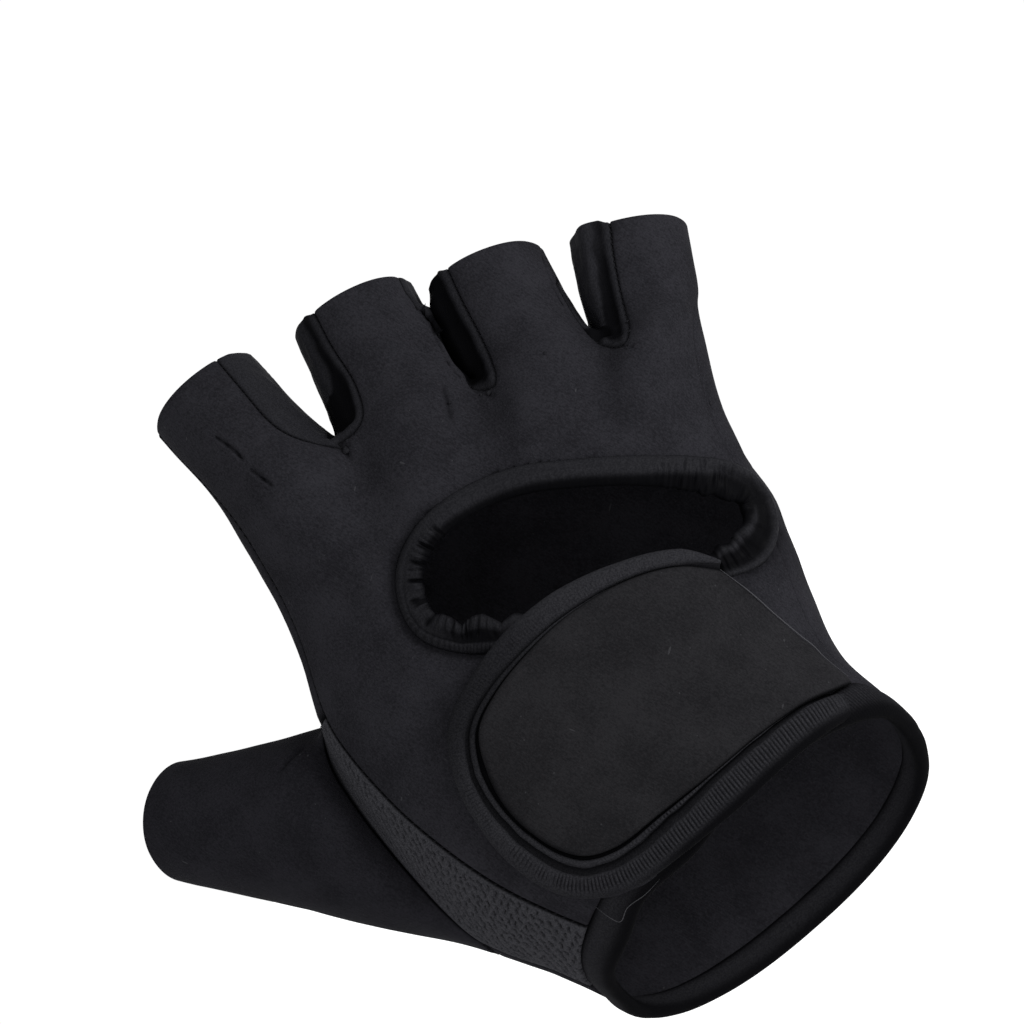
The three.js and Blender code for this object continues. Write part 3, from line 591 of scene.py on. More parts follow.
def tube_faces(start, stops, sides, closed=False):
    """Faces between rings of points, with a cap at each end unless the tube runs round."""
    faces = []
    for stop in range(stops if closed else stops - 1):
        near, far = start + stop * sides, start + (stop + 1) % stops * sides
        for side in range(sides):
            after = (side + 1) % sides
            faces.append((near + side, near + after, far + after, far + side))
    if not closed:
        last = start + (stops - 1) * sides
        faces += [tuple(range(start, start + sides))[::-1], tuple(range(last, last + sides))]
    return faces


def sweep(centres, across, normals, section, closed):
    """A tube along centres. Section gives each stop's (across, up) points, as an array stops x sides x 2."""
    points = (centres[:, None] + across[:, None] * section[:, :, :1] + normals[:, None] * section[:, :, 1:])
    points = points.reshape(-1, 3)
    return points, facing_out(points, tube_faces(0, *section.shape[:2], closed))


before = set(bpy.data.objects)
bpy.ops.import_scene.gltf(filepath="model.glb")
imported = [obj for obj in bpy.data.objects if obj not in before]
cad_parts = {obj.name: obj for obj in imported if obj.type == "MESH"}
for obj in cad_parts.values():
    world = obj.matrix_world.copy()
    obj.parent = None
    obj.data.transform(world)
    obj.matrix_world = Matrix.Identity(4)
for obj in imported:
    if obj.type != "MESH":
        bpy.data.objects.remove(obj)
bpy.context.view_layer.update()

SURFACE_ROUNDS = 3
points, quads, pieces = build_cage()
for _ in range(SURFACE_ROUNDS):
    points, quads, pieces = subdivide(points, quads, pieces)

# The middle and ring fingers touch below their cuffs: z and x of the line between them, half the gap that is
# closed, and the z over which they come together and part. Beside the end of the opening, the side of the
# hand is filled by SIDE_SWELL
TOUCH = np.array([(97.2, 7.7), (99.8, 7.3), (104.0, 8.0), (109.7, 9.7), (118.0, 12.4)])
TOUCH_HALF = 1.25
TOUCH_BEGINS = (94.5, 98.5)
TOUCH_ENDS = (109.2, 111.4)
SIDE_SWELL = 1.0
SIDE_SWELL_Z = 49.0


def worn_shape(p):
    """Presses those two fingers together and fills the side of the hand."""
    x, y, z = p.T
    away = x - np.interp(z, *TOUCH.T)
    press = 1.5 * TOUCH_HALF * smoothstep(z, *TOUCH_BEGINS) * (1 - smoothstep(z, *TOUCH_ENDS))
    gap = np.abs(away)
    closer = np.maximum(gap - press * bell(gap - TOUCH_HALF, 2.2), np.minimum(gap, 0.03))
    swell = SIDE_SWELL * bell(z - SIDE_SWELL_Z, 6.5) * smoothstep(x, 30.0, 37.0)
    return np.stack([x + np.sign(away) * (closer - gap) + swell, y, z], axis=1)


points = worn_shape(points)
normals = vertex_normals(points, quads)
tree = BVHTree.FromPolygons([Vector(p) for p in points], [tuple(int(i) for i in q) for q in quads])
back = BackMap(tree)


# Materials. Object coordinates are in metres, so a texture's scale is one over its feature's size in metres


class Nodes:
    """A small builder for one material's node tree."""

    def __init__(self, name, roughness, colour, specular):
        self.material = bpy.data.materials.new(name)
        self.material.use_nodes = True
        self.tree = self.material.node_tree
        self.shader = self.tree.nodes["Principled BSDF"]
        self.fill(self.shader, {"Base Color": colour, "Roughness": roughness, "Specular IOR Level": specular,
                                "Sheen Weight": 0.0, "Sheen Roughness": 0.5})
        self.coordinates = self.add("TexCoord", "Object", {})
        self.bump = None

    def fill(self, node, inputs):
        """Sets a node's inputs to numbers and colours, or links them to another node's output."""
        for key, value in inputs.items():
            socket = node.inputs[key]
            if isinstance(value, bpy.types.NodeSocket):
                self.tree.links.new(value, socket)
            elif isinstance(value, tuple) and len(socket.default_value) == 4:
                socket.default_value = (*value, 1)
            else:
                socket.default_value = value

    def add(self, kind, output, inputs, **settings):
        node = self.tree.nodes.new("ShaderNode" + kind)
        for key, value in settings.items():
            setattr(node, key, value)
        self.fill(node, inputs)
        return node.outputs[output]

    def texture(self, kind, output, scale, stretch, turn, inputs):
        place = {"Vector": self.coordinates, "Scale": stretch, "Rotation": (0, turn, 0)}
        place = self.add("Mapping", "Vector", place, vector_type="TEXTURE")
        return self.add(kind, output, {"Vector": place, "Scale": scale / MM, **inputs})

    def noise(self, size_mm, detail=2.0, roughness=0.5, stretch=(1, 1, 1), turn=0.0):
        inputs = {"Detail": detail, "Roughness": roughness}
        return self.texture("TexNoise", "Fac", 1 / size_mm, stretch, turn, inputs)

    def cells(self, size_mm, stretch=(1, 1, 1), turn=0.0):
        return self.texture("TexVoronoi", "Distance", 1 / size_mm, stretch, turn, {})

    def waves(self, size_mm, turn, distortion):
        inputs = {"Distortion": distortion, "Detail": 1.0}
        return self.texture("TexWave", "Fac", math.pi / 10 / size_mm, (1, 1, 1), turn, inputs)

    def math(self, operation, a, b):
        return self.add("Math", "Value", {0: a, 1: b}, operation=operation)

    def ramp(self, source, low, high, out_low=0.0, out_high=1.0):
        inputs = {"Value": source, "From Min": low, "From Max": high, "To Min": out_low, "To Max": out_high}
        return self.add("MapRange", "Result", inputs, interpolation_type="SMOOTHSTEP")

    def told(self, attribute, low, high, full=1.0):
        """A value from low to high, as the mesh's attribute goes from nought to full."""
        value = self.add("Attribute", "Fac", {}, attribute_name=attribute)
        return self.ramp(value, 0.0, full, low, high)

    def mix(self, factor, a, b):
        return self.add("Mix", "Result", {"Factor": factor, "A": a, "B": b}, data_type="RGBA")

    def darken(self, colour, attribute, strength=0.9):
        """Mixes a colour to near black where the mesh says so."""
        return self.mix(self.told(attribute, 0.0, strength), colour, BLACK)

    def grained(self, grain, dark, light):
        return self.mix(self.ramp(grain, 0.35, 0.65), dark, light)

    def raise_by(self, *bumps):
        """Adds bumps, each a height, its size in millimetres and its strength, one on top of the other."""
        for height, size_mm, strength in bumps:
            inputs = {"Height": height, "Distance": size_mm * MM, "Strength": strength}
            if self.bump is not None:
                inputs["Normal"] = self.bump
            self.bump = self.add("Bump", "Normal", inputs)

    def finish(self, colour, **inputs):
        self.fill(self.shader, {"Base Color": colour, "Normal": self.bump, **inputs})
        return self.material


BLACK = (0.0009, 0.0009, 0.0012)
LINT = (0.024, 0.024, 0.026)
# Turns the textures so that their up is the direction of the fingers
ALONG_FINGERS = math.radians(-25)


def knit_cloth(name, dark, light, lint=0.027):
    """Matt stretch cloth: knitted columns, brushed nap in fine streaks, uneven dye and sparse lint. It is
    darkened along its seams, and by painted shade beside the bindings, in creases and at the tab's rim, which
    the mesh's shade and seam attributes carry.
    """
    n = Nodes(name, 0.92, light, 0.02)
    grain = n.noise(0.34, 3.0, 0.6)
    streaks = n.noise(0.3, 2.0, 0.55, stretch=(1, 1, 3), turn=ALONG_FINGERS)
    columns = n.waves(0.4, ALONG_FINGERS, 2.0)
    tone = n.math("ADD", n.math("MULTIPLY", grain, 0.4), n.math("MULTIPLY", streaks, 0.28))
    tone = n.math("ADD", tone, n.math("MULTIPLY", n.noise(9.0, 3.0), 0.32))
    colour = n.mix(n.ramp(tone, 0.36, 0.64), dark, light)
    specks = n.ramp(n.cells(3.0), lint, lint * 1.7, 1.0, 0.0)
    fibres = n.ramp(n.cells(4.2, stretch=(1, 1, 6), turn=0.9), lint, lint * 1.6, 1.0, 0.0)
    strands = n.ramp(n.cells(4.6, stretch=(1, 1, 7), turn=-0.6), lint, lint * 1.5, 1.0, 0.0)
    fluff = n.math("MAXIMUM", n.math("MAXIMUM", specks, fibres), strands)
    colour = n.mix(n.math("MULTIPLY", fluff, 0.6), colour, LINT)
    n.raise_by((n.noise(4.5), 0.25, 0.35), (columns, 0.04, 0.2), (streaks, 0.08, 0.35), (grain, 0.09, 0.5))
    # shade carries painted shade; seam carries the seams' own dark and painted shade in creases and at the
    # tab's rim
    return n.finish(n.darken(n.darken(colour, "shade", 0.75), "seam"))


def stretch_lining(name):
    """Smooth shiny stretch cloth with a fine rib, duller in its hollows, where painted shade from the valley
    attribute darkens it to near black.
    """
    n = Nodes(name, 0.5, (0.006, 0.006, 0.007), 0.015)
    grain = n.noise(0.28)
    colour = n.grained(grain, (0.0062, 0.0062, 0.0074), (0.0100, 0.0100, 0.0118))
    pulls = n.noise(2.6, stretch=(1, 1, 2), turn=ALONG_FINGERS)
    n.raise_by((pulls, 0.3, 0.35), (n.waves(0.34, 0.3, 1.5), 0.03, 0.3), (grain, 0.04, 0.5))
    # valley carries painted shade in the gussets' hollows; seam the seams' own dark and painted shade in
    # creases
    colour = n.darken(n.darken(colour, "valley", 0.97), "seam")
    return n.finish(colour, Roughness=n.told("valley", 0.6, 0.8))


def gathered_elastic(name):
    """Folded elastic tape, a little shiny where the gathers stretch it, darkened by painted shade under its
    roll, in its valley, creases and tongues, which the shade and seam attributes carry.
    """
    n = Nodes(name, 0.55, (0.006, 0.006, 0.007), 0.012)
    grain = n.noise(0.3)
    colour = n.grained(grain, (0.0060, 0.0060, 0.0071), (0.0097, 0.0097, 0.0112))
    n.raise_by((n.noise(2.0), 0.3, 0.3), (grain, 0.07, 0.55))
    # shade and seam carry the binding's painted shade: under its roll, in its valley, creases and tongues
    colour = n.darken(n.darken(colour, "shade", 0.97), "seam")
    return n.finish(colour, Roughness=n.ramp(n.noise(3.0), 0.3, 0.7, 0.46, 0.7))


def ribbed_tape(name):
    """Knitted binding tape; the ribs across it are in the mesh, with painted shade in their troughs from the
    rib attribute and over the band's shaded sides from the shade attribute.
    """
    n = Nodes(name, 0.85, (0.007, 0.007, 0.008), 0.015)
    grain = n.noise(0.26, 3.0)
    colour = n.grained(grain, (0.0079, 0.0079, 0.0093), (0.0148, 0.0148, 0.0168))
    # rib carries painted shade in the ribs' troughs; shade carries painted shade over the band
    colour = n.mix(n.told("rib", 0.8, 0.0, 0.8), colour, BLACK)
    n.raise_by((grain, 0.09, 0.6))
    return n.finish(n.darken(colour, "shade", 0.95))


def net_cloth(name):
    """Warp-knitted netting; its slits are in the mesh, and painted shade darkens them through the slit
    attribute.
    """
    n = Nodes(name, 0.85, (0.011, 0.011, 0.013), 0.02)
    grain = n.noise(0.24, 3.0)
    colour = n.grained(grain, (0.0131, 0.0131, 0.0153), (0.0256, 0.0256, 0.0288))
    n.raise_by((n.waves(0.32, -0.2, 2.5), 0.06, 0.4), (grain, 0.09, 0.6))
    # slit carries painted shade in the slits; seam the seams' own dark and painted shade in creases
    return n.finish(n.darken(n.darken(colour, "slit", 0.6), "seam"))


def sewing_thread(name, colour):
    """Twisted thread, with painted shade in the grooves of its twist."""
    n = Nodes(name, 0.7, colour, 0.04)
    twist = n.waves(0.22, 0.6, 0.5)
    n.raise_by((twist, 0.05, 0.6))
    # darker where the twist's bump is low: painted shade in its grooves
    return n.finish(n.mix(n.ramp(twist, 0.2, 0.8), tuple(0.6 * c for c in colour), colour))


def hook_patch(name):
    """A field of small stiff hooks."""
    n = Nodes(name, 0.95, (0.008, 0.008, 0.009), 0.03)
    hooks = n.cells(0.9)
    n.raise_by((hooks, 0.4, 0.8))
    return n.finish(n.mix(n.ramp(hooks, 0.2, 0.6), (0.009, 0.009, 0.01), (0.003, 0.003, 0.004)))


cloth = knit_cloth("Cloth", (0.0056, 0.0055, 0.0067), (0.0122, 0.0120, 0.0144))
# A darker copy of the cloth for the thumb's sleeve: painted shade, as the thumb faces away from the light
shaded_sleeve_cloth = knit_cloth("ShadedSleeveCloth", (0.0045, 0.0044, 0.0055), (0.0090, 0.0088, 0.0108))
tab_cloth = knit_cloth("TabCloth", (0.0054, 0.0053, 0.0060), (0.0105, 0.0103, 0.0114), 0.034)
lining = stretch_lining("StretchLining")
elastic = gathered_elastic("GatheredElastic")
tape = ribbed_tape("RibbedTape")
netting = net_cloth("Netting")
thread = sewing_thread("Thread", (0.0036, 0.0036, 0.0044))
# Pale thread for the real loose end, also used for the painted highlight along the tab's fold
pale_thread_and_highlight = sewing_thread("PaleThreadAndHighlight", (0.04, 0.04, 0.044))
fastener = hook_patch("HookPatch")


# The fine surface, with the gussets' seams led round the bottoms of the webs. BEHIND_Y is outside the back
BEHIND_Y = -90.0


def on_surface(x, z):
    """The first point of the glove under (x, z), seen from the back, or None."""
    hit = tree.ray_cast(Vector((x, BEHIND_Y, z)), Vector((0, 1, 0)), -2 * BEHIND_Y)
    return None if hit[0] is None else np.array(hit[0])


def thrown(corners, spacing):
    """The points where a smooth line in the x-z plane meets the glove, seen from the back."""
    hits = [on_surface(x, z) for x, z in smooth_curve(corners, False, spacing)[0]]
    return np.array([hit for hit in hits if hit is not None])


def key_of(edges, span):
    return np.minimum(edges[:, 0], edges[:, 1]) * span + np.maximum(edges[:, 0], edges[:, 1])


def directed(faces):
    return np.stack([faces, np.roll(faces, -1, axis=1)], axis=2).reshape(-1, 2)


# Seam of each gusset on the thumb side of a finger, from the cuff down and round the bottom of the web, then
# the closing line through the gap between the fingers
GUSSET_SEAMS = [
    ([(-6.7, 123.5), (-6.9, 120.9), (-7.8, 114.6), (-8.3, 107.4), (-9.5, 103.2), (-10.6, 101.5),
      (-12.2, 100.6), (-14.4, 100.2), (-16.4, 100.5)], [(-18.5, 101.5), (-22.0, 112.0), (-22.0, 126.0)]),
    ([(16.6, 117.5), (15.9, 113.8), (14.6, 107.6), (13.6, 101.1), (12.6, 96.4), (11.9, 94.3), (10.8, 92.9),
      (9.2, 93.1), (8.0, 93.9)], [(6.0, 96.5), (6.0, 108.0), (9.0, 119.0)]),
    ([(43.6, 106.5), (42.5, 103.2), (40.4, 99.5), (37.5, 93.5), (36.0, 90.0), (34.6, 87.0), (32.6, 85.6),
      (30.9, 86.0), (29.6, 87.5)], [(27.5, 90.5), (29.5, 100.0), (36.0, 109.0)]),
]
# How far a point is drawn to the seam at most, and how far a gusset's cuff is raised
SNAP = 0.55
CUFF_RAISE = 1.0
# The faces that may change hands: how far from the web in x, above which z, before which y, and how far they
# face the back; and the y before which a gusset's walls are raised with its cuff
REGION_X = 18
REGION_Z = 84
REGION_Y = 14
REGION_FACING = -0.05
WALLS_Y = 16
fine_points, fine_quads, fine_pieces = subdivide(points, quads, pieces)
fine_normals = vertex_normals(fine_points, fine_quads)
quad_middles = fine_points[fine_quads].mean(axis=1)
quad_facing = fine_normals[fine_quads].mean(axis=1)[:, 1]
edge_keys, edge_counts = np.unique(key_of(directed(fine_quads), len(fine_points)), return_counts=True)
cuff_keys = edge_keys[edge_counts == 1]
on_cuff = np.zeros(len(fine_points), bool)
on_cuff[np.concatenate([cuff_keys // len(fine_points), cuff_keys % len(fine_points)])] = True


def lead_seam(index, curve, region):
    """Gives the faces in a region to the gusset, and draws the seam's points onto the curve."""
    web_x = WEBS[index][0]
    x, y, z = quad_middles.T
    beside = (x > web_x) & (x < web_x + REGION_X) & (z > REGION_Z)
    beside &= (quad_facing < REGION_FACING) & (y < REGION_Y)
    beside &= (fine_pieces == "back_panel") | (fine_pieces == GUSSETS[index])
    inside = inside_outline(quad_middles[:, [0, 2]], region)
    fine_pieces[beside & inside] = GUSSETS[index]
    fine_pieces[beside & ~inside] = "back_panel"
    of_gusset = np.zeros(len(fine_points), bool)
    of_gusset[fine_quads[beside & (fine_pieces == GUSSETS[index])]] = True
    of_back = np.zeros(len(fine_points), bool)
    of_back[fine_quads[fine_pieces == "back_panel"]] = True
    for point in np.nonzero(of_gusset & of_back)[0]:
        place = fine_points[point][[0, 2]]
        gaps = np.linalg.norm(curve - place, axis=1)
        move = curve[gaps.argmin()] - place
        if gaps.min() > 1e-6:
            move = move * min(1.0, SNAP / gaps.min())
        target = on_surface(*(place + move))
        if target is not None and np.linalg.norm(target - fine_points[point]) < 2 * SNAP:
            fine_points[point] = target


def raise_cuff(index, curve):
    """The gusset's cuff goes on in line with the back's."""
    walls = np.zeros(len(fine_points), bool)
    walls[fine_quads[fine_pieces == GUSSETS[index]]] = True
    wall_x = np.interp(fine_points[:, 2], *TOUCH.T) if index == 1 else WEBS[index][0]
    beyond = walls & (fine_points[:, 0] > wall_x) & (fine_points[:, 1] < WALLS_Y)
    below, _ = distance_to_path(fine_points[beyond], fine_points[beyond & on_cuff])
    gap, _ = distance_to_path(fine_points[beyond][:, [0, 2]], curve)
    amount = CUFF_RAISE * (1 - smoothstep(below, 0, 6)) * smoothstep(gap, 0.3, 2.4)
    amount *= 1 - smoothstep(fine_points[beyond][:, 1], 6, 15)
    upwards = unit(curve[0] - curve[len(curve) // 2])
    fine_points[beyond] += amount[:, None] * np.array([upwards[0], 0.0, upwards[1]])


for index, (seam, closing) in enumerate(GUSSET_SEAMS):
    seam_curve, _ = smooth_curve(seam, False, 0.1)
    lead_seam(index, seam_curve, np.vstack([seam_curve, closing]))
    raise_cuff(index, seam_curve)
fine_normals = vertex_normals(fine_points, fine_quads)
coarse = (points, quads, pieces, normals)
fine = (fine_points, fine_quads, fine_pieces, fine_normals)


# Folds, creases and puckers of the cloth: lines in the x-z plane, thrown onto the surface as seen from the
# back, each with its depth, its half width and how dark its bottom is: the own dark of seams and darts, and
# painted shade in the puckers. A depth below nought is a raised fold
CREASES = [
    # the dart on the index finger's knuckle, in two parts, and the one by the thumb's root
    ([(-32.6, 113.4), (-31.4, 109.6), (-31.2, 107.6)], 0.6, 0.33, 1.0),
    ([(-31.0, 105.6), (-30.4, 103.4), (-29.7, 101.3)], 0.6, 0.33, 1.0),
    ([(-51.7, 62.1), (-54.5, 62.0), (-57.8, 61.2)], 0.6, 0.5, 0.5),
    # puckers and pulls that run down from the webs
    ([(-16.0, 99.8), (-16.2, 97.6)], 0.7, 0.7, 0.7),
    ([(3.6, 97.4), (2.5, 94.4), (1.5, 92.4)], 0.5, 0.75, 0.6),
    ([(8.6, 93.2), (9.6, 91.4)], 0.5, 0.5, 0.7),
    ([(32.2, 85.2), (33.6, 84.0)], 0.4, 0.45, 0.6),
    ([(16.0, 92.5), (18.2, 87.0), (19.2, 81.0)], 0.28, 2.6, 0.0),
    ([(-11.0, 99.0), (-8.6, 92.0), (-6.8, 86.0)], 0.25, 2.6, 0.0),
    # small curls of the gussets at the webs' bottoms
    ([(28.7, 89.4), (30.0, 88.2), (31.6, 87.9), (33.2, 86.4)], -0.55, 0.45, 0.0),
    ([(-16.2, 101.3), (-14.4, 101.2), (-12.8, 101.6)], -0.45, 0.5, 0.0),
    ([(8.2, 94.9), (9.8, 94.3), (11.4, 94.4)], -0.3, 0.4, 0.0),
    # the middle finger's far seam, along its edge
    ([(8.9, 113.3), (8.3, 109.1), (7.6, 105.3), (7.1, 102.2), (6.7, 100.1), (6.8, 97.6), (7.3, 96.0)],
     0.4, 0.26, 0.9),
    # the ring finger's far seam
    ([(30.4, 105.8), (29.5, 102.4), (28.7, 99.4), (28.3, 97.0)], 0.35, 0.3, 0.9),
    # the raised line of the side seam below the little finger
    ([(47.0, 91.0), (44.6, 84.6), (43.2, 80.8)], -0.22, 0.6, 0.0),
    # soft pulls from the opening's two ends
    ([(-27.0, 74.0), (-33.0, 79.0), (-37.5, 86.0)], 0.35, 2.6, 0.0),
    ([(-28.5, 64.0), (-36.0, 64.5), (-43.0, 67.0)], 0.35, 2.4, 0.0),
    ([(-27.0, 58.0), (-34.0, 52.0), (-41.0, 50.5)], 0.4, 2.6, 0.0),
    ([(35.5, 59.5), (36.8, 65.0), (38.0, 71.0)], 0.25, 2.2, 0.0),
    ([(6.0, 82.0), (8.0, 87.5), (8.4, 91.0)], 0.3, 3.0, 0.0),
    ([(-14.0, 84.5), (-15.4, 90.0), (-16.0, 96.0)], 0.3, 3.0, 0.0),
    ([(22.0, 76.0), (26.5, 81.0), (30.0, 85.0)], 0.25, 2.6, 0.0),
    # the thumb's sleeve, drawn towards its root
    ([(-52.0, 55.0), (-60.0, 56.5), (-68.0, 58.5)], 0.35, 2.6, 0.0),
    ([(-52.0, 45.0), (-60.0, 47.5), (-69.0, 52.0)], 0.3, 2.8, 0.0),
    ([(-51.0, 33.0), (-57.0, 37.5), (-65.0, 43.0)], 0.3, 2.4, 0.0),
]


def crease_lines():
    lines = []
    for corners, depth, width, dark in CREASES:
        hits = thrown(corners, 0.4)
        ends = from_ends(len(hits)) / max(len(hits) / 5, 1)
        lines.append((hits, depth * np.minimum(ends + 0.25, 1), width, dark))
    return lines


CREASE_LINES = crease_lines()
RELIEF_REACH = 24.0


def relief(p):
    """How far the worn cloth stands off its smooth form, in millimetres, and how dark its creases are: dark
    along seams and darts, painted shade in the puckers.
    """
    height = 0.32 * noise_at(p, 15.0, 1.0) + 0.12 * noise_at(p, 6.0, 2.0)
    dark = np.zeros(len(p))
    for line, depth, width, darkness in CREASE_LINES:
        near = np.nonzero(np.linalg.norm(p - line.mean(axis=0), axis=1) < RELIEF_REACH)[0]
        if len(near) == 0:
            continue
        gap, number = distance_to_path(p[near], line)
        shoulder = bell(gap - 2.1 * width, width)
        height[near] += depth[number] * (0.3 * shoulder - bell(gap, width))
        dark[near] = np.maximum(dark[near], darkness * bell(gap, 0.75 * width))
    return height, dark


# How deep the cloth rolls down beside a seam, and from how far
ROLL = 0.5
ROLL_REACH = 1.4
WEB_ENDS = np.array([(x, y, z) for x, yb, zb, yp, zp in WEBS for y, z in ((yb, zb), (yp, zp))])

# How deep a seam is: between panels, at the gussets, and between back and palm on the little finger's and on
# the thumb's side
PANEL_SEAM = 1.0
GUSSET_SEAM = 0.6
LITTLE_SIDE_SEAM = 0.02
THUMB_SIDE_SEAM = 0.5

# Rows of points across the edge of a wall: how far through the wall, and how far a cuff swells out there
EDGE_ROWS = ((0.16, 0.24), (0.5, 0.36), (0.84, 0.24))
SEAM_EDGE_SWELL = 0.05
NO_SEAM = 99.0


def seam_strength(surface):
    p, q, names, _ = surface
    touches = {name: np.isin(np.arange(len(p)), q[names == name]) for name in PIECES}
    at_gusset = np.any([touches[name] for name in GUSSETS], axis=0)
    sides = touches["back_panel"] & touches["palm_panel"] & ~at_gusset
    sides &= ~touches["side_mesh"] & ~touches["thumb_sleeve"]
    strength = np.where(at_gusset, GUSSET_SEAM, PANEL_SEAM)
    strength[sides] = np.where(p[sides, 0] > 0, LITTLE_SIDE_SEAM, THUMB_SIDE_SEAM)
    return strength


def rim_of(local, used, all_quads, span):
    """The directed edges at a panel's rim, and which of them no other panel shares."""
    sides = directed(local)
    _, first, counts = np.unique(key_of(sides, span), return_index=True, return_counts=True)
    rim = sides[first[counts == 1]]
    whole, whole_counts = np.unique(key_of(directed(all_quads), span), return_counts=True)
    return rim, whole_counts[np.searchsorted(whole, key_of(used[rim], span))] == 1


def inward_of(p, n, local):
    """At each point the direction along the panel into its faces."""
    inward = np.zeros_like(p)
    centres = np.repeat(p[local].mean(axis=1), 4, axis=0)
    np.add.at(inward, local.ravel(), unit(centres - p[local.ravel()]))
    return unit(inward - n * (inward * n).sum(axis=1, keepdims=True))


def closed_wall(outer, inner, local, rim, swell):
    """Both skins and the rows of points across the edge. Swell gives each point's move for a row's."""
    count = len(outer)
    rim_points = np.unique(rim)
    verts = [outer, inner]
    faces = [tuple(face) for face in local] + [tuple(face[::-1] + count) for face in local]
    ladder = [np.arange(count)]
    for order, (at, out) in enumerate(EDGE_ROWS):
        row = outer[rim_points] * (1 - at) + inner[rim_points] * at
        verts.append(row + swell(out)[rim_points])
        index = np.full(count, -1)
        index[rim_points] = 2 * count + order * len(rim_points) + np.arange(len(rim_points))
        ladder.append(index)
    ladder.append(np.arange(count) + count)
    for upper, lower in zip(ladder[:-1], ladder[1:]):
        faces += [(upper[b], upper[a], lower[a], lower[b]) for a, b in rim]
    return np.vstack(verts), faces


def shell(name, piece, surface, material, wall, cut=None, extra=None, roll=ROLL):
    """One panel of the surface as a closed wall with rolled seams and rounded cuffs."""
    all_points, all_quads, all_names, all_normals = surface
    faces = all_quads[all_names == piece]
    if cut is not None:
        faces = faces[~cut[faces].any(axis=1)]
    used, local = np.unique(faces, return_inverse=True)
    local = local.reshape(-1, 4)
    p, n = all_points[used], all_normals[used]
    rim, free = rim_of(local, used, all_quads, len(all_points))
    inward = inward_of(p, n, local)

    seam_points = np.unique(rim[~free])
    if len(seam_points):
        seam_gap, nearest = distance_to_path(p, p[seam_points])
        strength = seam_strength(surface)[used[seam_points]][nearest]
    else:
        seam_gap, strength = np.full(len(p), NO_SEAM), np.zeros(len(p))
    closeness = np.clip(1 - seam_gap / ROLL_REACH, 0, 1)
    drop = roll * strength * (1 - np.sqrt(1 - closeness ** 2))
    lift, dark = relief(p)
    # The seam attribute: the seams' own dark line, and painted shade in the creases from relief
    attributes = {"seam": np.maximum(strength * bell(seam_gap, 0.32), dark)}
    if extra is not None:
        more, values = extra(p, n, seam_gap)
        lift = lift + more
        attributes.update(values)
    lift = np.where(lift < 0, lift, lift * (0.3 + 0.7 * smoothstep(seam_gap, 0.0, 1.2)))
    draw = np.zeros(len(p))
    draw[seam_points] = SEAM_GAP / 2 * strength[seam_points]
    ends = np.linalg.norm(p[:, None] - WEB_ENDS[None], axis=2).min(axis=1)
    share = 0.3 + 0.7 * smoothstep(ends, 0, 6)
    outer = p + n * (lift - drop)[:, None] + inward * draw[:, None]
    inner = p + n * (0.6 * lift - wall * share - 0.4 * drop)[:, None] - inward * 0.4 * draw[:, None]

    is_free = np.zeros(len(p), bool)
    is_free[np.setdiff1d(np.unique(rim[free]), seam_points)] = True

    def swell(out):
        return -inward * np.where(is_free, out, SEAM_EDGE_SWELL)[:, None]

    verts, faces = closed_wall(outer, inner, local, rim, swell)
    rim_points = np.unique(rim)
    values = [(key, np.concatenate([value, value, *[value[rim_points]] * len(EDGE_ROWS)]))
              for key, value in attributes.items()]
    return make_piece(name, verts, faces, material, (piece,), values)


def outward_curve(corners, spacing):
    """A closed smooth curve in the x-z plane, the distance along it, and its outward directions."""
    curve, distance = smooth_curve(corners, True, spacing)
    out = outward_of(curve[:, :2], True)
    if inside_outline(curve[:1, :2] + out[:1] * 0.5, curve[:, :2])[0]:
        out = -out
    return curve, distance, out


# How far under the binding the panel is cut, as a share of the binding's width
CUT_SHARE = 0.72
opening_curve, _, opening_out = outward_curve(OPENING, 0.5)
opening_middle = opening_curve[:, :2] + opening_out * opening_curve[:, 2:3] * CUT_SHARE
opening_outer = opening_curve[:, :2] + opening_out * opening_curve[:, 2:3]
BACK_SIDE_Y = 6.0
# A line above the wrist's binding on the thumb side; the cloth beside it gets painted shade
HEM_SHADE = [(x / 2, 12.6 + x / 5) for x in range(-70, -20)]


def opening_cut(surface):
    """Points that fall well inside the opening's binding, on the back."""
    p = surface[0]
    return inside_outline(p[:, [0, 2]], opening_middle) & (p[:, 1] < BACK_SIDE_Y)


def opening_valley(p, n, seam_gap):
    """The cloth sinks beside the opening's binding and stands up a little beyond it; painted shade darkens it
    beside the binding, most at the thumb end and at the little-finger end's lower side, and above the wrist's
    binding on the thumb side.
    """
    gap, _ = distance_to_path(p[:, [0, 2]], opening_outer)
    at_thumb = 0.15 + 0.85 * smoothstep(-p[:, 0], 6.0, 14.0)
    valley = (-0.5 * bell(gap, 1.3) + 0.3 * bell(gap - 4.2, 2.2)) * (0.4 + 0.6 * at_thumb)
    # shade is painted shade beside the binding, strongest at the thumb end
    shade = 0.65 * bell(gap, 1.3) * at_thumb
    lower_end = smoothstep(p[:, 0], 22, 28) * (1 - smoothstep(p[:, 2], 49, 56))
    beside = np.maximum(0.45 * bell(gap, 2.6), 0.9 * bell(gap, 0.7))
    shade = np.maximum(shade, lower_end * beside)
    hem = (p[:, 2] < 24) & (p[:, 0] < -4)
    wrist_gap, _ = distance_to_path(p[hem][:, [0, 2]], np.array(HEM_SHADE))
    shade[hem] = np.maximum(shade[hem], 0.7 * bell(wrist_gap, 2.2))
    on_back = (p[:, 1] < BACK_SIDE_Y + 6 * lower_end) & (n[:, 1] < 0.2)
    return np.where(on_back, valley, 0.0), {"shade": np.where(on_back, shade, 0.0)}


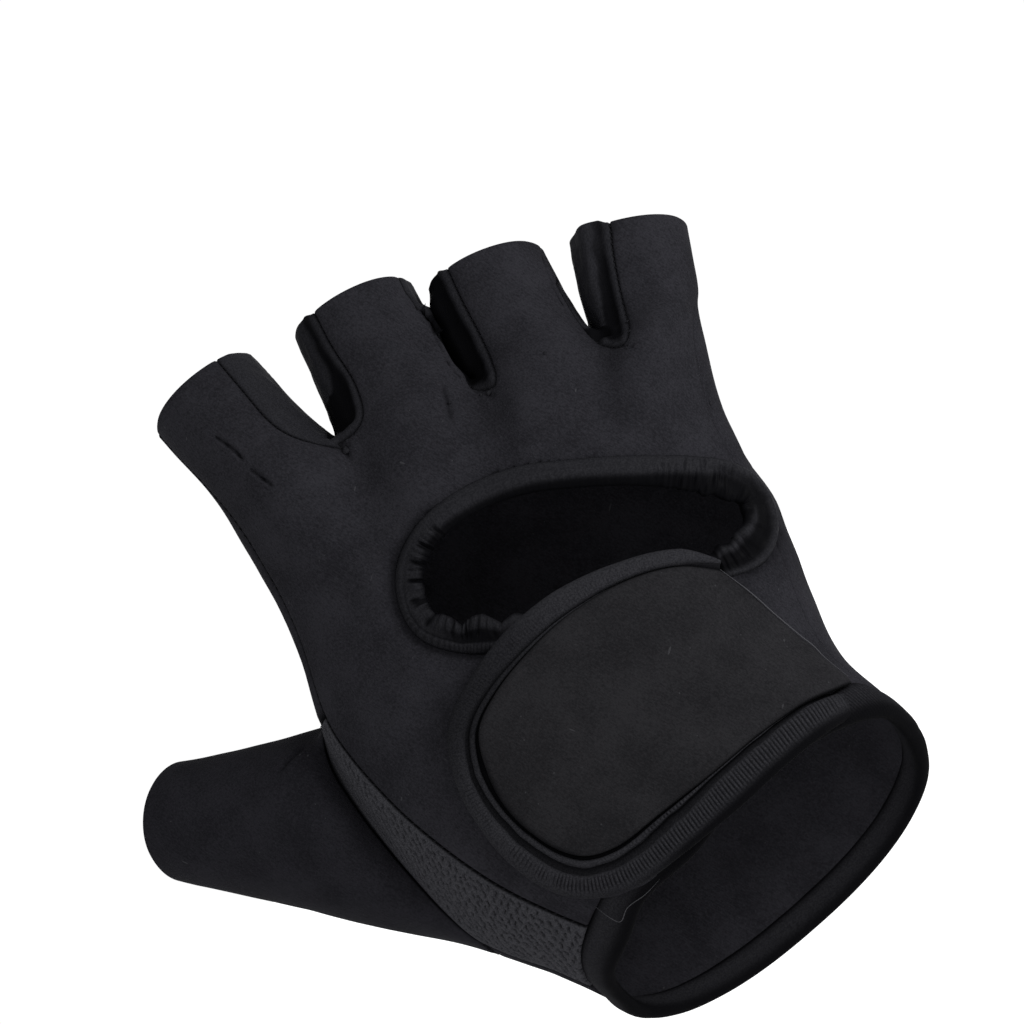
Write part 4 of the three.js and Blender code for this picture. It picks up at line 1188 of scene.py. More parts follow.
# The painted shade in the hollow of each gusset, from the cuff down: share of the seam's length, then how far
# from the seam the painted shade begins, is full and ends, and how dark it is; and how much of that goes on
# beyond its end
HOLLOWS = (
    ([(0.1, 0.2, 2.0, 3.0, 0.8), (0.35, 0.3, 1.7, 3.2, 0.86), (0.45, 0.2, 1.4, 4.2, 0.92),
      (0.53, 0.4, 1.6, 9.0, 1.0), (0.75, 0.8, 2.2, 9.0, 1.0), (1.0, 1.0, 2.4, 9.0, 1.0)], 0.35),
    ([(0.15, 0.8, 2.4, 9.0, 1.0), (0.5, 0.6, 2.1, 9.0, 1.0), (0.8, 0.3, 1.9, 9.0, 1.0),
      (1.0, 0.2, 1.8, 9.0, 1.0)], 1.0),
    ([(0.1, 0.9, 2.2, 3.0, 0.6), (0.3, 0.4, 1.7, 3.1, 0.78), (0.5, 0.4, 1.7, 3.2, 0.85),
      (0.6, 0.8, 2.0, 3.9, 0.88), (0.8, 0.9, 2.1, 4.2, 0.88), (1.0, 0.8, 1.5, 5.0, 0.9)], 0.05),
)
# How far from the seam each gusset's valley runs, and its half width; and the outer fold of the last one
HOLLOW_MIDDLES = (3.1, 3.4, 2.3)
HOLLOW_WIDTHS = (1.25, 1.25, 0.95)
OUTER_FOLD = 4.9


def gusset_folds(p, n, seam_gap):
    """Thin cloth between two fingers: a narrow ridge beside the back's seam, then a deep wrinkled valley,
    darkened by painted shade.
    """
    index = int(np.argmin([abs(web[0] - p[:, 0].mean()) for web in WEBS]))
    seam = thrown(GUSSET_SEAMS[index][0], 0.5)
    gap, number = distance_to_path(p, seam)
    web_x = WEBS[index][0] - 1.0
    on_left = p[:, 0] > (np.interp(p[:, 2], *TOUCH.T) if index == 1 else web_x)
    dark_walls = np.maximum(on_left, (p[:, 0] > web_x) * (1 - smoothstep(p[:, 2], 108.0, 110.5)))
    shape = np.where(on_left, 1.0, 0.35)
    valley = bell(gap - HOLLOW_MIDDLES[index], HOLLOW_WIDTHS[index]) * shape
    outer_fold = bell(gap - OUTER_FOLD, 1.3) * shape * (index == 2)
    wrinkles = np.array([noise.noise(Vector((x / 6, y / 6, z / 1.3))) for x, y, z in p])
    folds = 1 - np.abs(noise_at(p * np.array([1.0, 1.6, 0.45]), 3.2, 5.0)) * 2
    height = -0.8 * valley + 0.6 * outer_fold + 0.35 * wrinkles * valley
    height += 0.2 * folds * smoothstep(seam_gap, 0.3, 2.5)
    # The valley attribute is painted shade in the hollow, on the walls that dark_walls gives
    rows, beyond = HOLLOWS[index]
    down = number / len(seam)
    shares, *columns = np.transpose(rows)
    begins, full, ends, dark = [np.interp(down, shares, column) for column in columns]
    reach = gap + 0.25 * noise_at(p, 3.0, 8.0)
    share = np.clip((reach - begins) / (full - begins), 0, 1)
    shade = dark * share * (1 - (1 - beyond) * smoothstep(reach - ends, 0.0, 0.9))
    return height, {"valley": np.clip(shade * dark_walls, 0, 1)}


for piece, surface in (("back_panel", fine), ("palm_panel", coarse)):
    shell(piece + "_cloth", piece, surface, cloth, WALL, opening_cut(surface), opening_valley)
shell("thumb_sleeve_cloth", "thumb_sleeve", fine, shaded_sleeve_cloth, WALL)
for name in GUSSETS:
    shell(name + "_cloth", name, fine, lining, GUSSET_WALL, None, gusset_folds, 0.4)


# The strip of netting: one more round of points, and slits in slanting rows cut into its outer skin
SLIT_ACROSS = 1.2
SLIT_ALONG = 2.0
SLIT_LENGTH = 0.74
SLIT_WIDTH = 0.2
SLIT_DEPTH = 0.5
SLIT_TURN = math.radians(46)
HOLLOW_WIDTH = 0.55
HOLLOW_LONGER = 0.35
SEAM_STEP = 0.15


def strip_surface():
    beside = np.isin(fine_quads, np.unique(fine_quads[fine_pieces == "side_mesh"])).any(axis=1)
    used, local = np.unique(fine_quads[beside], return_inverse=True)
    p, q, names = subdivide(fine_points[used], local.reshape(-1, 4), fine_pieces[beside])
    return p, q, names, vertex_normals(p, q)


def upper_seam(surface):
    """The seam between the netting and the back panel, from the thumb's root to the wrist."""
    p, q, names, _ = surface
    line = p[np.intersect1d(q[names == "side_mesh"], q[names == "back_panel"])]
    line = line[np.argsort(-line[:, 2])]
    distance = lengths_along(line)
    line = read_along(line, distance, np.arange(0, distance[-1], SEAM_STEP))
    beyond = np.arange(1, 80)[:, None] * SEAM_STEP * unit(line[-1] - line[-12])
    return np.vstack([line, line[-1] + beyond])


def scatter(column, row, seed):
    """An even random number from -1 to 1 for each cell of a lattice."""
    value = np.sin(column * 12.9898 + row * 78.233 + seed * 37.719) * 43758.5453
    return 2 * (value - np.floor(value)) - 1


strip = strip_surface()
strip_seam = upper_seam(strip)


def slit_pattern(p, n, seam_gap):
    """Height of the netting and the painted shade in its slits, from the distances along and across the
    strip.
    """
    across, number = distance_to_path(p, strip_seam)
    along = number * SEAM_STEP + 0.5 * noise_at(p, 6.0, 3.0)
    across = across + 0.45 * noise_at(p, 5.0, 4.0)
    e = along * math.cos(SLIT_TURN) + across * math.sin(SLIT_TURN)
    f = along * math.sin(SLIT_TURN) - across * math.cos(SLIT_TURN)
    column = np.round(f / SLIT_ACROSS)
    slit, hollow = np.zeros(len(p)), np.zeros(len(p))
    for step in (-1, 0, 1):
        this = column + step
        shifted = e - 0.5 * SLIT_ALONG * (this % 2)
        row = np.round(shifted / SLIT_ALONG)
        de = shifted - (row + 0.16 * scatter(this, row, 1)) * SLIT_ALONG
        df = f - (this + 0.16 * scatter(this, row, 2)) * SLIT_ACROSS
        df = df + 0.35 * scatter(this, row, 3) * de + 0.1 * np.sin(de * 5 + this)
        length = SLIT_LENGTH * (1 + 0.3 * scatter(this, row, 4))
        slit = np.maximum(slit, np.exp(-(df / SLIT_WIDTH) ** 2 - (de / length) ** 4))
        hollow = np.maximum(hollow, np.exp(-(df / HOLLOW_WIDTH) ** 2 - (de / (length + HOLLOW_LONGER)) ** 4))
    inside = smoothstep(seam_gap, 0.5, 1.3)
    # the slit attribute is painted shade in the slits
    return (0.07 * (1 - hollow) - SLIT_DEPTH * slit) * inside, {"slit": slit * inside}


shell("side_mesh_net", "side_mesh", strip, netting, WALL, None, slit_pattern)


# The gathered elastic binding of the opening. Across it from the inner edge: a roll, a valley, a flat ribbed
# stripe
BINDING_TOP = 16
BINDING_UNDER = 8
SCALLOP_START = 113.8
SCALLOP_PITCH = 6.4
TONGUE_PITCH = 2.9
BINDING_RIB = 0.62
# Places across it, as shares of its width: crown of the roll, bottom of the valley, the line beside the
# stripe, and the stripe's middle and half width
CROWN = 0.6
VALLEY = 0.53
STRIPE_LINE = 0.66
STRIPE = 0.84
STRIPE_HALF = 0.14


def along_noise(distance, across, size, seed):
    """Smooth noise from -1 to 1 along a band, its features four times as long across the band as along it."""
    spots = zip(np.asarray(distance) / size, np.asarray(across) / (size * 4))
    return np.array([noise.noise(Vector((a + seed * 31.7, b, seed * 3.1))) for a, b in spots])


def frames_on_back(places, out):
    """Normals of the back at (x, z) places, and the outward directions laid onto it."""
    normal = back.normal(places[:, 0], places[:, 1])
    flat = in_space(out)
    return normal, unit(flat - normal * (flat * normal).sum(axis=1, keepdims=True))


def binding_profile():
    """Over the binding's top and back under it: share of the width and height of each row of points."""
    over = np.linspace(0.0, 1.0, BINDING_TOP)
    reach = np.where(over < CROWN, 0.63, 0.42)
    roll = 1.75 * np.sqrt(1 - ((over - CROWN) / reach) ** 2) - 0.22 * bell(over - STRIPE_LINE, 0.05)
    under = np.linspace(1.0, 0.0, BINDING_UNDER + 2)[1:-1]
    below = -1.15 * np.clip(1 - (2 * under - 1) ** 4, 0, 1) ** 0.5
    return np.concatenate([over, under]), np.concatenate([roll, below])


def opening_binding():
    curve, distance, out = outward_curve(OPENING, 0.15)
    stops = len(curve)
    x, z, width, dark_share, valley = curve.T
    level = np.zeros(stops)
    thumb_end, little_end = smoothstep(-x, 8, 15), smoothstep(x, 19, 27)
    gather = 0.15 + 0.85 * np.maximum(thumb_end, 0.8 * little_end)
    scallop = smoothstep(-x, 7.5, 10.5) * (1 - smoothstep(z, 65.0, 69.5))
    beat = (distance - SCALLOP_START) / SCALLOP_PITCH + 0.05 * along_noise(distance, level, 6.0, 5.0)
    bumps = 2 * np.abs(np.sin(math.pi * beat)) - 1.25
    beat = 2 * math.pi * distance / TONGUE_PITCH + along_noise(distance, level, 4.0, 6.0)
    tongues = np.clip(np.cos(beat), 0, 1) ** 3
    tongues = tongues * smoothstep(-x, 8, 12) * smoothstep(z, 64.0, 69.0)
    inner_shift = 0.85 * scallop * bumps + 0.3 * gather * along_noise(distance, level, 1.7, 1.0)
    inner_shift -= 0.35 * little_end * (z < 58) * np.sin(distance * 2 * math.pi / 3.6)
    lower_end = smoothstep(x, 20, 26) * (1 - smoothstep(z, 50, 57))
    under_tab = ((z < 61) & (x > -11) & (x < 24)).astype(float)
    sink = np.convolve(np.tile(under_tab, 3), np.ones(41) / 41, "same")[stops:2 * stops]
    ribs = 0.5 + 0.5 * np.cos(2 * math.pi * distance / BINDING_RIB)
    striped = smoothstep(-x, 6.0, 13.0) * (1 - smoothstep(z, 66.0, 76.0)) * 0.8 + 0.2

    spots, base = binding_profile()
    section = np.zeros((stops, len(spots), 2))
    dark = np.zeros((stops, len(spots)))
    shade = np.zeros((stops, len(spots)))
    for side, (t, height) in enumerate(zip(spots, base)):
        top = 1.0 if side < BINDING_TOP else 0.2
        ripple = along_noise(distance, level + t * 3.0, 0.62, 2.0)
        ripple = ripple + 0.5 * along_noise(distance, level + t * 2, 0.3, 3.0)
        inner_part = 1 - smoothstep(t, 0.45 + 0.3 * little_end, 0.68 + 0.3 * little_end)
        tongue = tongues * (1 - smoothstep(t, 0.3, 0.7))
        valley_here = valley * bell(t - VALLEY, 0.21 + 0.07 * little_end, 4)
        folded = gather * 0.7 * ripple * inner_part + 0.16 * scallop * bumps * (1 - t)
        folded = folded - 0.5 * tongue - 0.6 * valley_here
        stripe_rib = 0.12 * striped * (ribs - 0.5) * bell(t - STRIPE, STRIPE_HALF)
        section[:, side, 0] = (t - 0.5) * width - inner_shift * (1 - t) ** 1.5
        section[:, side, 1] = height + top * (folded + stripe_rib) - 0.85 - 0.7 * sink
        section[:, side, 1] += 0.5 * lower_end * bell(t - 0.9, 0.07)
        # The seam attribute here is painted shade: in the gathers' creases, between the stripe's ribs, in the
        # groove beside the stripe and in the tongues' hollows
        crease = np.clip(-1.6 * ripple - 0.3, 0, 1) * gather * inner_part
        in_stripe = striped * (1 - ribs) * bell(t - STRIPE, STRIPE_HALF)
        line = bell(t - STRIPE_LINE, 0.04) * striped
        dark[:, side] = np.clip(crease + 0.6 * in_stripe + 0.6 * line + 1.1 * tongue, 0, 1)
        # Painted shade: under the roll, in the valley, along the outer edge mostly at the thumb end, lightly
        # over the whole thumb end, and full under the binding
        under_roll = 1 - smoothstep(t, dark_share - 0.2, dark_share + 0.17)
        outer_edge = 0.7 * smoothstep(t, 0.86, 1.0) * (0.1 + 0.9 * thumb_end)
        shaded = np.maximum(np.maximum(under_roll, valley_here), np.maximum(outer_edge, 0.3 * thumb_end))
        shade[:, side] = shaded if side < BINDING_TOP else 1.0
    middle = curve[:, :2] + out * width[:, None] / 2
    normal, across = frames_on_back(middle, out)
    verts, faces = sweep(back.point(*middle.T), across, normal, section, True)
    nodes = ("opening_binding",)
    values = [("seam", dark.ravel()), ("shade", shade.ravel())]
    return make_piece("opening_binding_elastic", verts, faces, elastic, nodes, values)


binding = opening_binding()


def thread_along(name, path, normal, radius, material, sides=6):
    """A round thread along a path, thinner towards its ends."""
    ahead = unit(np.gradient(path, axis=0))
    across = unit(np.cross(ahead, normal))
    ends = from_ends(len(path)) / len(path)
    size = radius * (0.35 + 0.65 * smoothstep(ends, 0, 0.3))
    section = circle(sides)[None] * size[:, None, None]
    verts, faces = sweep(path, across, np.cross(across, ahead), section, False)
    return make_piece(name, verts, faces, material)


# The strap tab: its face, the piping round it and the ribbed tape outside that


def tab_ramp(x, z):
    first, last = np.array(TAB_EDGE[0]), np.array(TAB_EDGE[-1])
    line = unit(first - last)
    return smoothstep((np.asarray(z) - last[1]) * line[0] - (np.asarray(x) - last[0]) * line[1], 0, FOLD_RAMP)


def tab_low(x, z):
    z = np.asarray(z, float)
    ends = np.maximum(smoothstep(z, 34, 41), 1 - smoothstep(z, 17, 24))
    fold = FOLD_LIFT + (1.2 - FOLD_LIFT) * ends
    return fold + (TAB_LIFT - fold) * tab_ramp(x, z)


def tab_high(x, z):
    return tab_low(x, z) + FOLD_THICKNESS + (TAB_THICKNESS - FOLD_THICKNESS) * tab_ramp(x, z)


def pad(outline, middle, rings, high, low):
    """A closed pad over the back: rings of points from outline to middle, closer together at the rim."""
    count = len(outline)
    shares = 1 - (np.arange(rings) / rings) ** 1.6
    flat = np.vstack([middle + (outline - middle) * share for share in shares] + [middle[None]])
    total = len(flat)
    faces = []
    for i in range(count):
        j = (i + 1) % count
        for ring in range(rings - 1):
            a, b = ring * count + i, ring * count + j
            c, d = b + count, a + count
            faces.append((a, b, c, d))
            faces.append((d + total, c + total, b + total, a + total))
        last = (rings - 1) * count
        faces.append((last + i, last + j, total - 1))
        faces.append((last + j + total, last + i + total, 2 * total - 1))
        faces.append((j, i, i + total, j + total))
    verts = np.vstack([back.lifted(*flat.T, high(flat)), back.lifted(*flat.T, low(flat))])
    return verts, facing_out(verts, faces), flat


TAB_MIDDLE = np.array([-2.0, 34.0])
FOLD_BOW = np.array([[0.5, 0.16]])
tab_curve, _ = smooth_curve(TAB_EDGE, False, 0.4)
fold_share = np.linspace(0, 1, 52)[1:-1, None]
fold_path = tab_curve[-1] + (tab_curve[0] - tab_curve[-1]) * fold_share
fold_path = fold_path + FOLD_BOW * np.sin(math.pi * fold_share)
tab_outline = np.vstack([tab_curve, fold_path])
fold_line = np.vstack([tab_curve[-1:], fold_path, tab_curve[:1]])


def tab_face_height(flat):
    free_gap, _ = distance_to_path(flat, tab_curve)
    fold_gap, _ = distance_to_path(flat, fold_line)
    ramp = tab_ramp(*flat.T)
    close = np.clip(1 - free_gap / 1.3, 0, 1)
    rim = 1.35 * (1 - np.sqrt(1 - close ** 2)) * (0.35 + 0.65 * ramp)
    fold_close = np.clip(1 - fold_gap, 0, 1)
    fold_drop = 0.35 * (1 - np.sqrt(1 - fold_close ** 2))
    level = in_space(flat)
    swell = 0.24 * noise_at(level, 12.0, 6.0) + 0.06 * noise_at(level, 5.0, 7.0)
    swell = swell * smoothstep(free_gap, 0, 5)
    return tab_high(*flat.T) + 0.45 * smoothstep(free_gap, 0.0, 9.0) * ramp - rim - fold_drop + swell


def tab_under_height(flat):
    return tab_low(*flat.T)


tab_points, tab_faces, tab_flat = pad(tab_outline, TAB_MIDDLE, 34, tab_face_height, tab_under_height)
rim_gap = distance_to_path(tab_flat, tab_curve)[0]
lower_left = smoothstep(-tab_flat[:, 0], 20, 26) * (1 - smoothstep(tab_flat[:, 1], 38, 46))
# Painted shade along the tab's rounded rim, wider at its lower left; the cloth's seam attribute carries it
painted_rim_shade = np.maximum(0.8 * bell(rim_gap, 0.3), 0.75 * lower_left * bell(rim_gap, 0.9))
tab_values = [("seam", np.concatenate([painted_rim_shade, painted_rim_shade]))]
make_piece("strap_tab_face", tab_points, tab_faces, tab_cloth, ("strap_tab",), tab_values)

# Beside each corner of the tab's edge: where the piping starts, its width, that of the groove beyond it and
# of all together, height of the piping's and the tape's ribs, how far the tape is let down into the wrist's
# binding, and how much painted shade darkens the whole band and its outer side
EDGE_NAMES = ("start", "piping", "groove", "total", "piping_rib", "tape_rib", "sink", "shade", "outer")
EDGE_PROFILE = np.array([
    (0.9, 0.02, 0.10, 1.7, 0.00, 0.00, 0.6, 0.2, 0.3), (-0.1, 0.02, 0.15, 2.9, 0.00, 0.05, 0.2, 0.0, 0.2),
    (-0.1, 0.02, 0.15, 3.3, 0.00, 0.06, 0.0, 0.0, 0.2), (-0.1, 0.25, 0.15, 4.5, 0.00, 0.06, 0.0, 0.15, 0.2),
    (0.0, 0.60, 0.15, 5.2, 0.00, 0.07, 0.0, 0.45, 0.4), (0.1, 1.00, 0.25, 4.9, 0.00, 0.07, 0.0, 0.55, 0.3),
    (0.35, 1.00, 0.60, 5.1, 0.00, 0.07, 0.0, 0.55, 0.3), (0.8, 1.10, 0.60, 5.4, 0.00, 0.07, 0.0, 0.35, 0.3),
    (0.4, 0.95, 0.80, 5.3, 0.00, 0.08, 0.0, 0.2, 0.3), (0.3, 1.10, 0.90, 6.3, 0.02, 0.10, 0.0, 0.1, 0.3),
    (0.5, 1.40, 0.95, 6.9, 0.03, 0.15, 0.0, 0.05, 0.4), (0.5, 1.20, 1.20, 7.3, 0.06, 0.18, 0.0, 0.05, 0.5),
    (0.3, 1.10, 1.40, 7.5, 0.14, 0.18, 0.0, 0.0, 0.9), (0.0, 0.40, 0.90, 7.2, 0.10, 0.18, 0.0, 0.0, 1.0),
    (0.0, 0.25, 0.85, 6.7, 0.08, 0.18, 0.2, 0.0, 1.0), (-0.2, 0.15, 0.45, 6.1, 0.05, 0.16, 0.6, 0.05, 1.0),
    (-0.3, 0.05, 0.15, 4.6, 0.03, 0.08, 3.0, 0.3, 0.8),
])
band_curve, band_distance = smooth_curve(TAB_EDGE, False, 0.14)
corner_stops = [np.argmin(np.linalg.norm(band_curve - np.array(corner), axis=1)) for corner in TAB_EDGE]
corner_distance = band_distance[corner_stops]
RIB_PITCH = 0.66


def edge_value(name, distance):
    return np.interp(distance, corner_distance, EDGE_PROFILE[:, EDGE_NAMES.index(name)])


def edge_band(name, which, thickness, lift, sides, power, nodes=()):
    """A band beside the tab's edge: the piping or the ribbed tape."""
    curve, distance = band_curve, band_distance
    out = outward_of(curve, False)
    if inside_outline(curve[60:61] + out[60:61], tab_outline)[0]:
        out = -out
    stops = len(curve)
    level = np.zeros(stops)
    ragged = 0.22 * along_noise(distance, level, 2.2, 4.0) * (edge_value("groove", distance) - 0.3)
    near = edge_value("start", distance)
    far = near + edge_value("piping", distance) + ragged
    if which == "tape":
        near = far + edge_value("groove", distance)
        far = edge_value("total", distance)
    width = np.maximum(far - near, 0.02)
    middle = curve + out * ((near + far) / 2)[:, None]
    beat = lengths_along(middle) / RIB_PITCH + 0.3 * along_noise(distance, level, 3.0, 6.0)
    crest = 0.5 + 0.5 * np.cos(2 * math.pi * beat)
    rib = edge_value(which + "_rib", distance) * (1 + 0.5 * along_noise(distance, level, 1.6, 7.0))
    angle = turns(sides)
    wide = signed_power(np.cos(angle), power)
    up = signed_power(np.sin(angle), 0.75)
    lean = np.clip(up, 0, 1)
    flatter = np.minimum(1.0, width / thickness)
    inner_side = 1 - smoothstep(wide, 0.1, 0.75)
    outer_side = smoothstep(wide, -0.1, 0.8)
    section = np.zeros((stops, sides, 2))
    section[:, :, 0] = wide * width[:, None] / 2
    section[:, :, 1] = up * (thickness * flatter)[:, None] / 2
    section[:, :, 1] += (rib * (crest - 0.5))[:, None] * lean * inner_side
    if which == "tape":
        # its lower edge runs on under the face
        flange = np.clip(-1.7 * wide, 0, 1) * np.clip(-1.7 * up, 0, 1)
        section[:, :, 0] -= (near + 0.8)[:, None] * flange
        section[:, :, 1] += 0.3 * flange
    # Painted shade in the troughs between the ribs, 1 where there is none
    rib_shading = 1 - ((1 - crest) * np.clip(rib / 0.14, 0, 1))[:, None] * lean * inner_side
    # Painted shade over the band, more on its outer side, and full on its underside
    outer_shade = edge_value("outer", distance)[:, None] * outer_side
    shade = np.maximum(edge_value("shade", distance)[:, None], outer_shade)
    shade = np.maximum(shade, 1 - smoothstep(up, -0.4, 0.4))
    height = tab_low(*curve.T) + lift - edge_value("sink", distance)
    normal, across = frames_on_back(middle, out)
    verts, faces = sweep(back.lifted(*middle.T, height), across, normal, section, False)
    values = [("rib", rib_shading.ravel()), ("shade", np.broadcast_to(shade, rib_shading.shape).ravel())]
    return make_piece(name, verts, faces, tape, nodes, values)


piping = edge_band("strap_piping", "piping", 1.5, 1.15, 12, 0.9)
strap_tape = edge_band("strap_tape", "tape", 2.4, 0.95, 20, 0.7, ("strap_binding",))


# A pale thread along the fold, level with the face: a painted highlight where the folded edge catches the
# light
LINE_RADIUS = 0.12
line_curve, _ = smooth_curve([tuple(p) for p in fold_line[2::7]], False, 0.4)
line_path = back.lifted(*line_curve.T, tab_high(*line_curve.T) - LINE_RADIUS)
line_normal = back.normal(*line_curve.T)
painted_fold_highlight = thread_along("fold_line", line_path, line_normal, LINE_RADIUS, pale_thread_and_highlight)

# The smooth lip that the tape leaves outside it at the thumb end: its line, half width, half height and lift
LIP = [(-22.6, 53.6), (-27.0, 50.6), (-30.6, 47.0), (-33.0, 41.4), (-34.0, 34.0), (-33.0, 25.4),
       (-30.2, 18.6), (-26.4, 14.2), (-20.6, 11.4), (-12.0, 10.3)]
LIP_WIDE = 0.75
LIP_HIGH = 0.7
LIP_LIFT = 0.35
LIP_SIDES = 12


def strap_lip():
    """A smooth roll of cloth on the back, with tapering ends."""
    curve, distance = smooth_curve(LIP, False, 0.35)
    ends = np.minimum(distance, distance[-1] - distance)
    size = 0.2 + 0.8 * smoothstep(ends, 0, 7)
    wobble = 1 + 0.18 * along_noise(distance, np.zeros(len(curve)), 3.0, 8.0)
    section = (circle(LIP_SIDES) * (LIP_WIDE, LIP_HIGH))[None] * (size * wobble)[:, None, None]
    normal, across = frames_on_back(curve, outward_of(curve, False))
    path = back.lifted(*curve.T, np.full(len(curve), LIP_LIFT))
    verts, faces = sweep(path, across, normal, section, False)
    return make_piece("strap_lip", verts, faces, cloth)


lip = strap_lip()


# The wrist's rolled binding: the body's first ring, evenly spaced round it
HEM_WIDTH = 5.3
HEM_THICKNESS = 3.2
HEM_OVERLAP = 0.5
HEM_STEP = 0.17
HEM_SIDES = 22


def wrist_binding():
    degrees = np.linspace(0, 360, 721)
    edge = np.array([ring_point_at_angle(body_row(0), d) for d in degrees])
    inner = np.array([ring_point_at_angle(body_row(0.5), d) for d in degrees])
    distance = lengths_along(edge)
    total = distance[-1]
    stops = int(total / HEM_STEP)
    wanted = np.arange(stops) * total / stops
    edge, inner = read_along(edge, distance, wanted), read_along(inner, distance, wanted)
    across = unit(edge - inner)
    normal = unit(np.cross(np.roll(edge, -4, axis=0) - np.roll(edge, 4, axis=0), across))
    normal = normal * np.sign((normal * (edge - edge.mean(axis=0))).sum(axis=1).mean())
    x = edge[:, 0]
    on_back = smoothstep(-edge[:, 1], 1, 11)
    ribbed = on_back * smoothstep(x, -22, -8)
    at_thumb = smoothstep(-x, 22, 32) * (1 - 0.8 * smoothstep(edge[:, 1], 3, 10))
    at_little = smoothstep(x, 30, 35)
    lower = HEM_WIDTH + on_back * (2.4 * bell(x + 13, 10) + 1.6 * bell(x + 31, 7))
    lower = lower + 0.9 * at_thumb
    upper = HEM_OVERLAP + on_back * 2.2 * bell(x - 31, 5) - 0.9 * at_thumb
    thick = HEM_THICKNESS * (1 - 0.25 * at_thumb)
    angle = turns(HEM_SIDES)
    wide = signed_power(np.cos(angle), 0.75)
    up = signed_power(np.sin(angle), 0.85)
    lean = np.clip(up, 0, 1)
    crest = 0.5 + 0.5 * np.cos(2 * math.pi * np.round(total / RIB_PITCH) / total * wanted)
    rib = 0.015 + 0.1 * ribbed
    pucker = 0.14 * along_noise(wanted, np.zeros(stops), 5.0, 9.0)
    section = np.zeros((stops, HEM_SIDES, 2))
    section[:, :, 0] = wide * ((lower + upper) / 2)[:, None]
    section[:, :, 1] = up * (thick / 2 + pucker)[:, None] + (rib * (crest - 0.5))[:, None] * lean
    # Painted shade in the troughs between the ribs, 1 where there is none
    rib_shading = 1 - ((1 - crest) * rib / 0.14)[:, None] * lean
    # Painted shade over the whole band, full along its upper edge and towards the wrist's mouth
    shade = 0.4 + 0.6 * (1 - smoothstep(wide, -0.97, -0.6)) + 0.6 * smoothstep(wide, -0.1, 0.9)
    let_in = WALL / 2 + 1.2 * at_thumb + 0.7 * at_little
    centres = edge + across * ((lower - upper) / 2)[:, None] - normal * let_in[:, None]
    verts, faces = sweep(centres, across, normal, section, True)
    values = [("rib", rib_shading.ravel()), ("shade", np.tile(np.clip(shade, 0, 1), stops))]
    return make_piece("wrist_binding_tape", verts, faces, tape, ("wrist_binding",), values)


hem = wrist_binding()

# The hidden fastening patch between tab and glove
PATCH_MIDDLE = np.array([-14.0, 36.0])
PATCH_HALF = np.array([10.0, 11.0])
PATCH_LOW = 0.35
PATCH_HIGH = 1.35
patch_shape = signed_power(circle(72), 0.55)


def patch_height(flat):
    level = in_space(flat)
    return PATCH_HIGH + 0.08 * noise_at(level, 0.8, 1.0)


def patch_under(flat):
    return np.full(len(flat), PATCH_LOW)


patch_outline = PATCH_MIDDLE + patch_shape * PATCH_HALF
patch_points, patch_faces, _ = pad(patch_outline, PATCH_MIDDLE, 16, patch_height, patch_under)
patch = make_piece("closure_patch_hooks", patch_points, patch_faces, fastener, ("closure_patch",))


# Seam stitches and knots
BEAD_SIDES = 6
KNOT_SIDES = 8


def seam_chains(surface, one, other):
    """Lines of points along which two pieces of the surface meet, with the surface's normals there."""
    p, q, names, n = surface
    span = len(p)
    edges = [key_of(directed(q[names == piece]), span) for piece in (one, other)]
    shared = np.intersect1d(*edges)
    beside = {}
    for key in shared:
        a, b = int(key // span), int(key % span)
        beside.setdefault(a, []).append(b)
        beside.setdefault(b, []).append(a)
    chains = []
    left = set(beside)
    while left:
        ends = [v for v in left if sum(u in left for u in beside[v]) <= 1]
        chain = [min(ends) if ends else min(left)]
        left.discard(chain[0])
        while True:
            ahead = [u for u in beside[chain[-1]] if u in left]
            if not ahead:
                break
            chain.append(ahead[0])
            left.discard(ahead[0])
        if len(chain) > 3:
            chains.append((p[chain], n[chain]))
    return chains


def along_line(line, normal, spacing):
    """Evenly spaced points of a line, with normals and directions."""
    distance = lengths_along(line)
    wanted = np.arange(spacing / 2, distance[-1], spacing)
    ahead = read_along(line, distance, wanted + 0.1) - read_along(line, distance, wanted - 0.1)
    return read_along(line, distance, wanted), unit(read_along(normal, distance, wanted)), unit(ahead)


def beads(name, places, material, length, radius, turn):
    """Short round-ended threads at (points, normals, directions), turned from the line's direction."""
    rings = [(-0.5, 0.15), (-0.42, 0.75), (-0.15, 1.0), (0.15, 1.0), (0.42, 0.75), (0.5, 0.15)]
    verts, faces = [], []
    for at, up, ahead in places:
        side = unit(np.cross(up, ahead))
        for k in range(len(at)):
            along = ahead[k] * math.cos(turn) + side[k] * math.sin(turn)
            across = np.cross(up[k], along)
            faces += tube_faces(len(verts), len(rings), BEAD_SIDES)
            for place, size in rings:
                centre = at[k] + along * place * length - up[k] * abs(place) * 0.7 * radius
                for a in turns(BEAD_SIDES):
                    verts.append(centre + (across * math.cos(a) + up[k] * math.sin(a)) * radius * size)
    return make_piece(name, np.array(verts), faces, material)


def rows_between(pairs, spacing, lift):
    """Places for stitches along the seams; the one below the little finger is too fine to show any."""
    rows = []
    for one, other in pairs:
        for line, normal in seam_chains(fine, one, other):
            if (one, other) != ("back_panel", "palm_panel") or line[:, 0].mean() < 0:
                at, up, ahead = along_line(line, normal, spacing)
                rows.append((at + up * lift, up, ahead))
    return rows


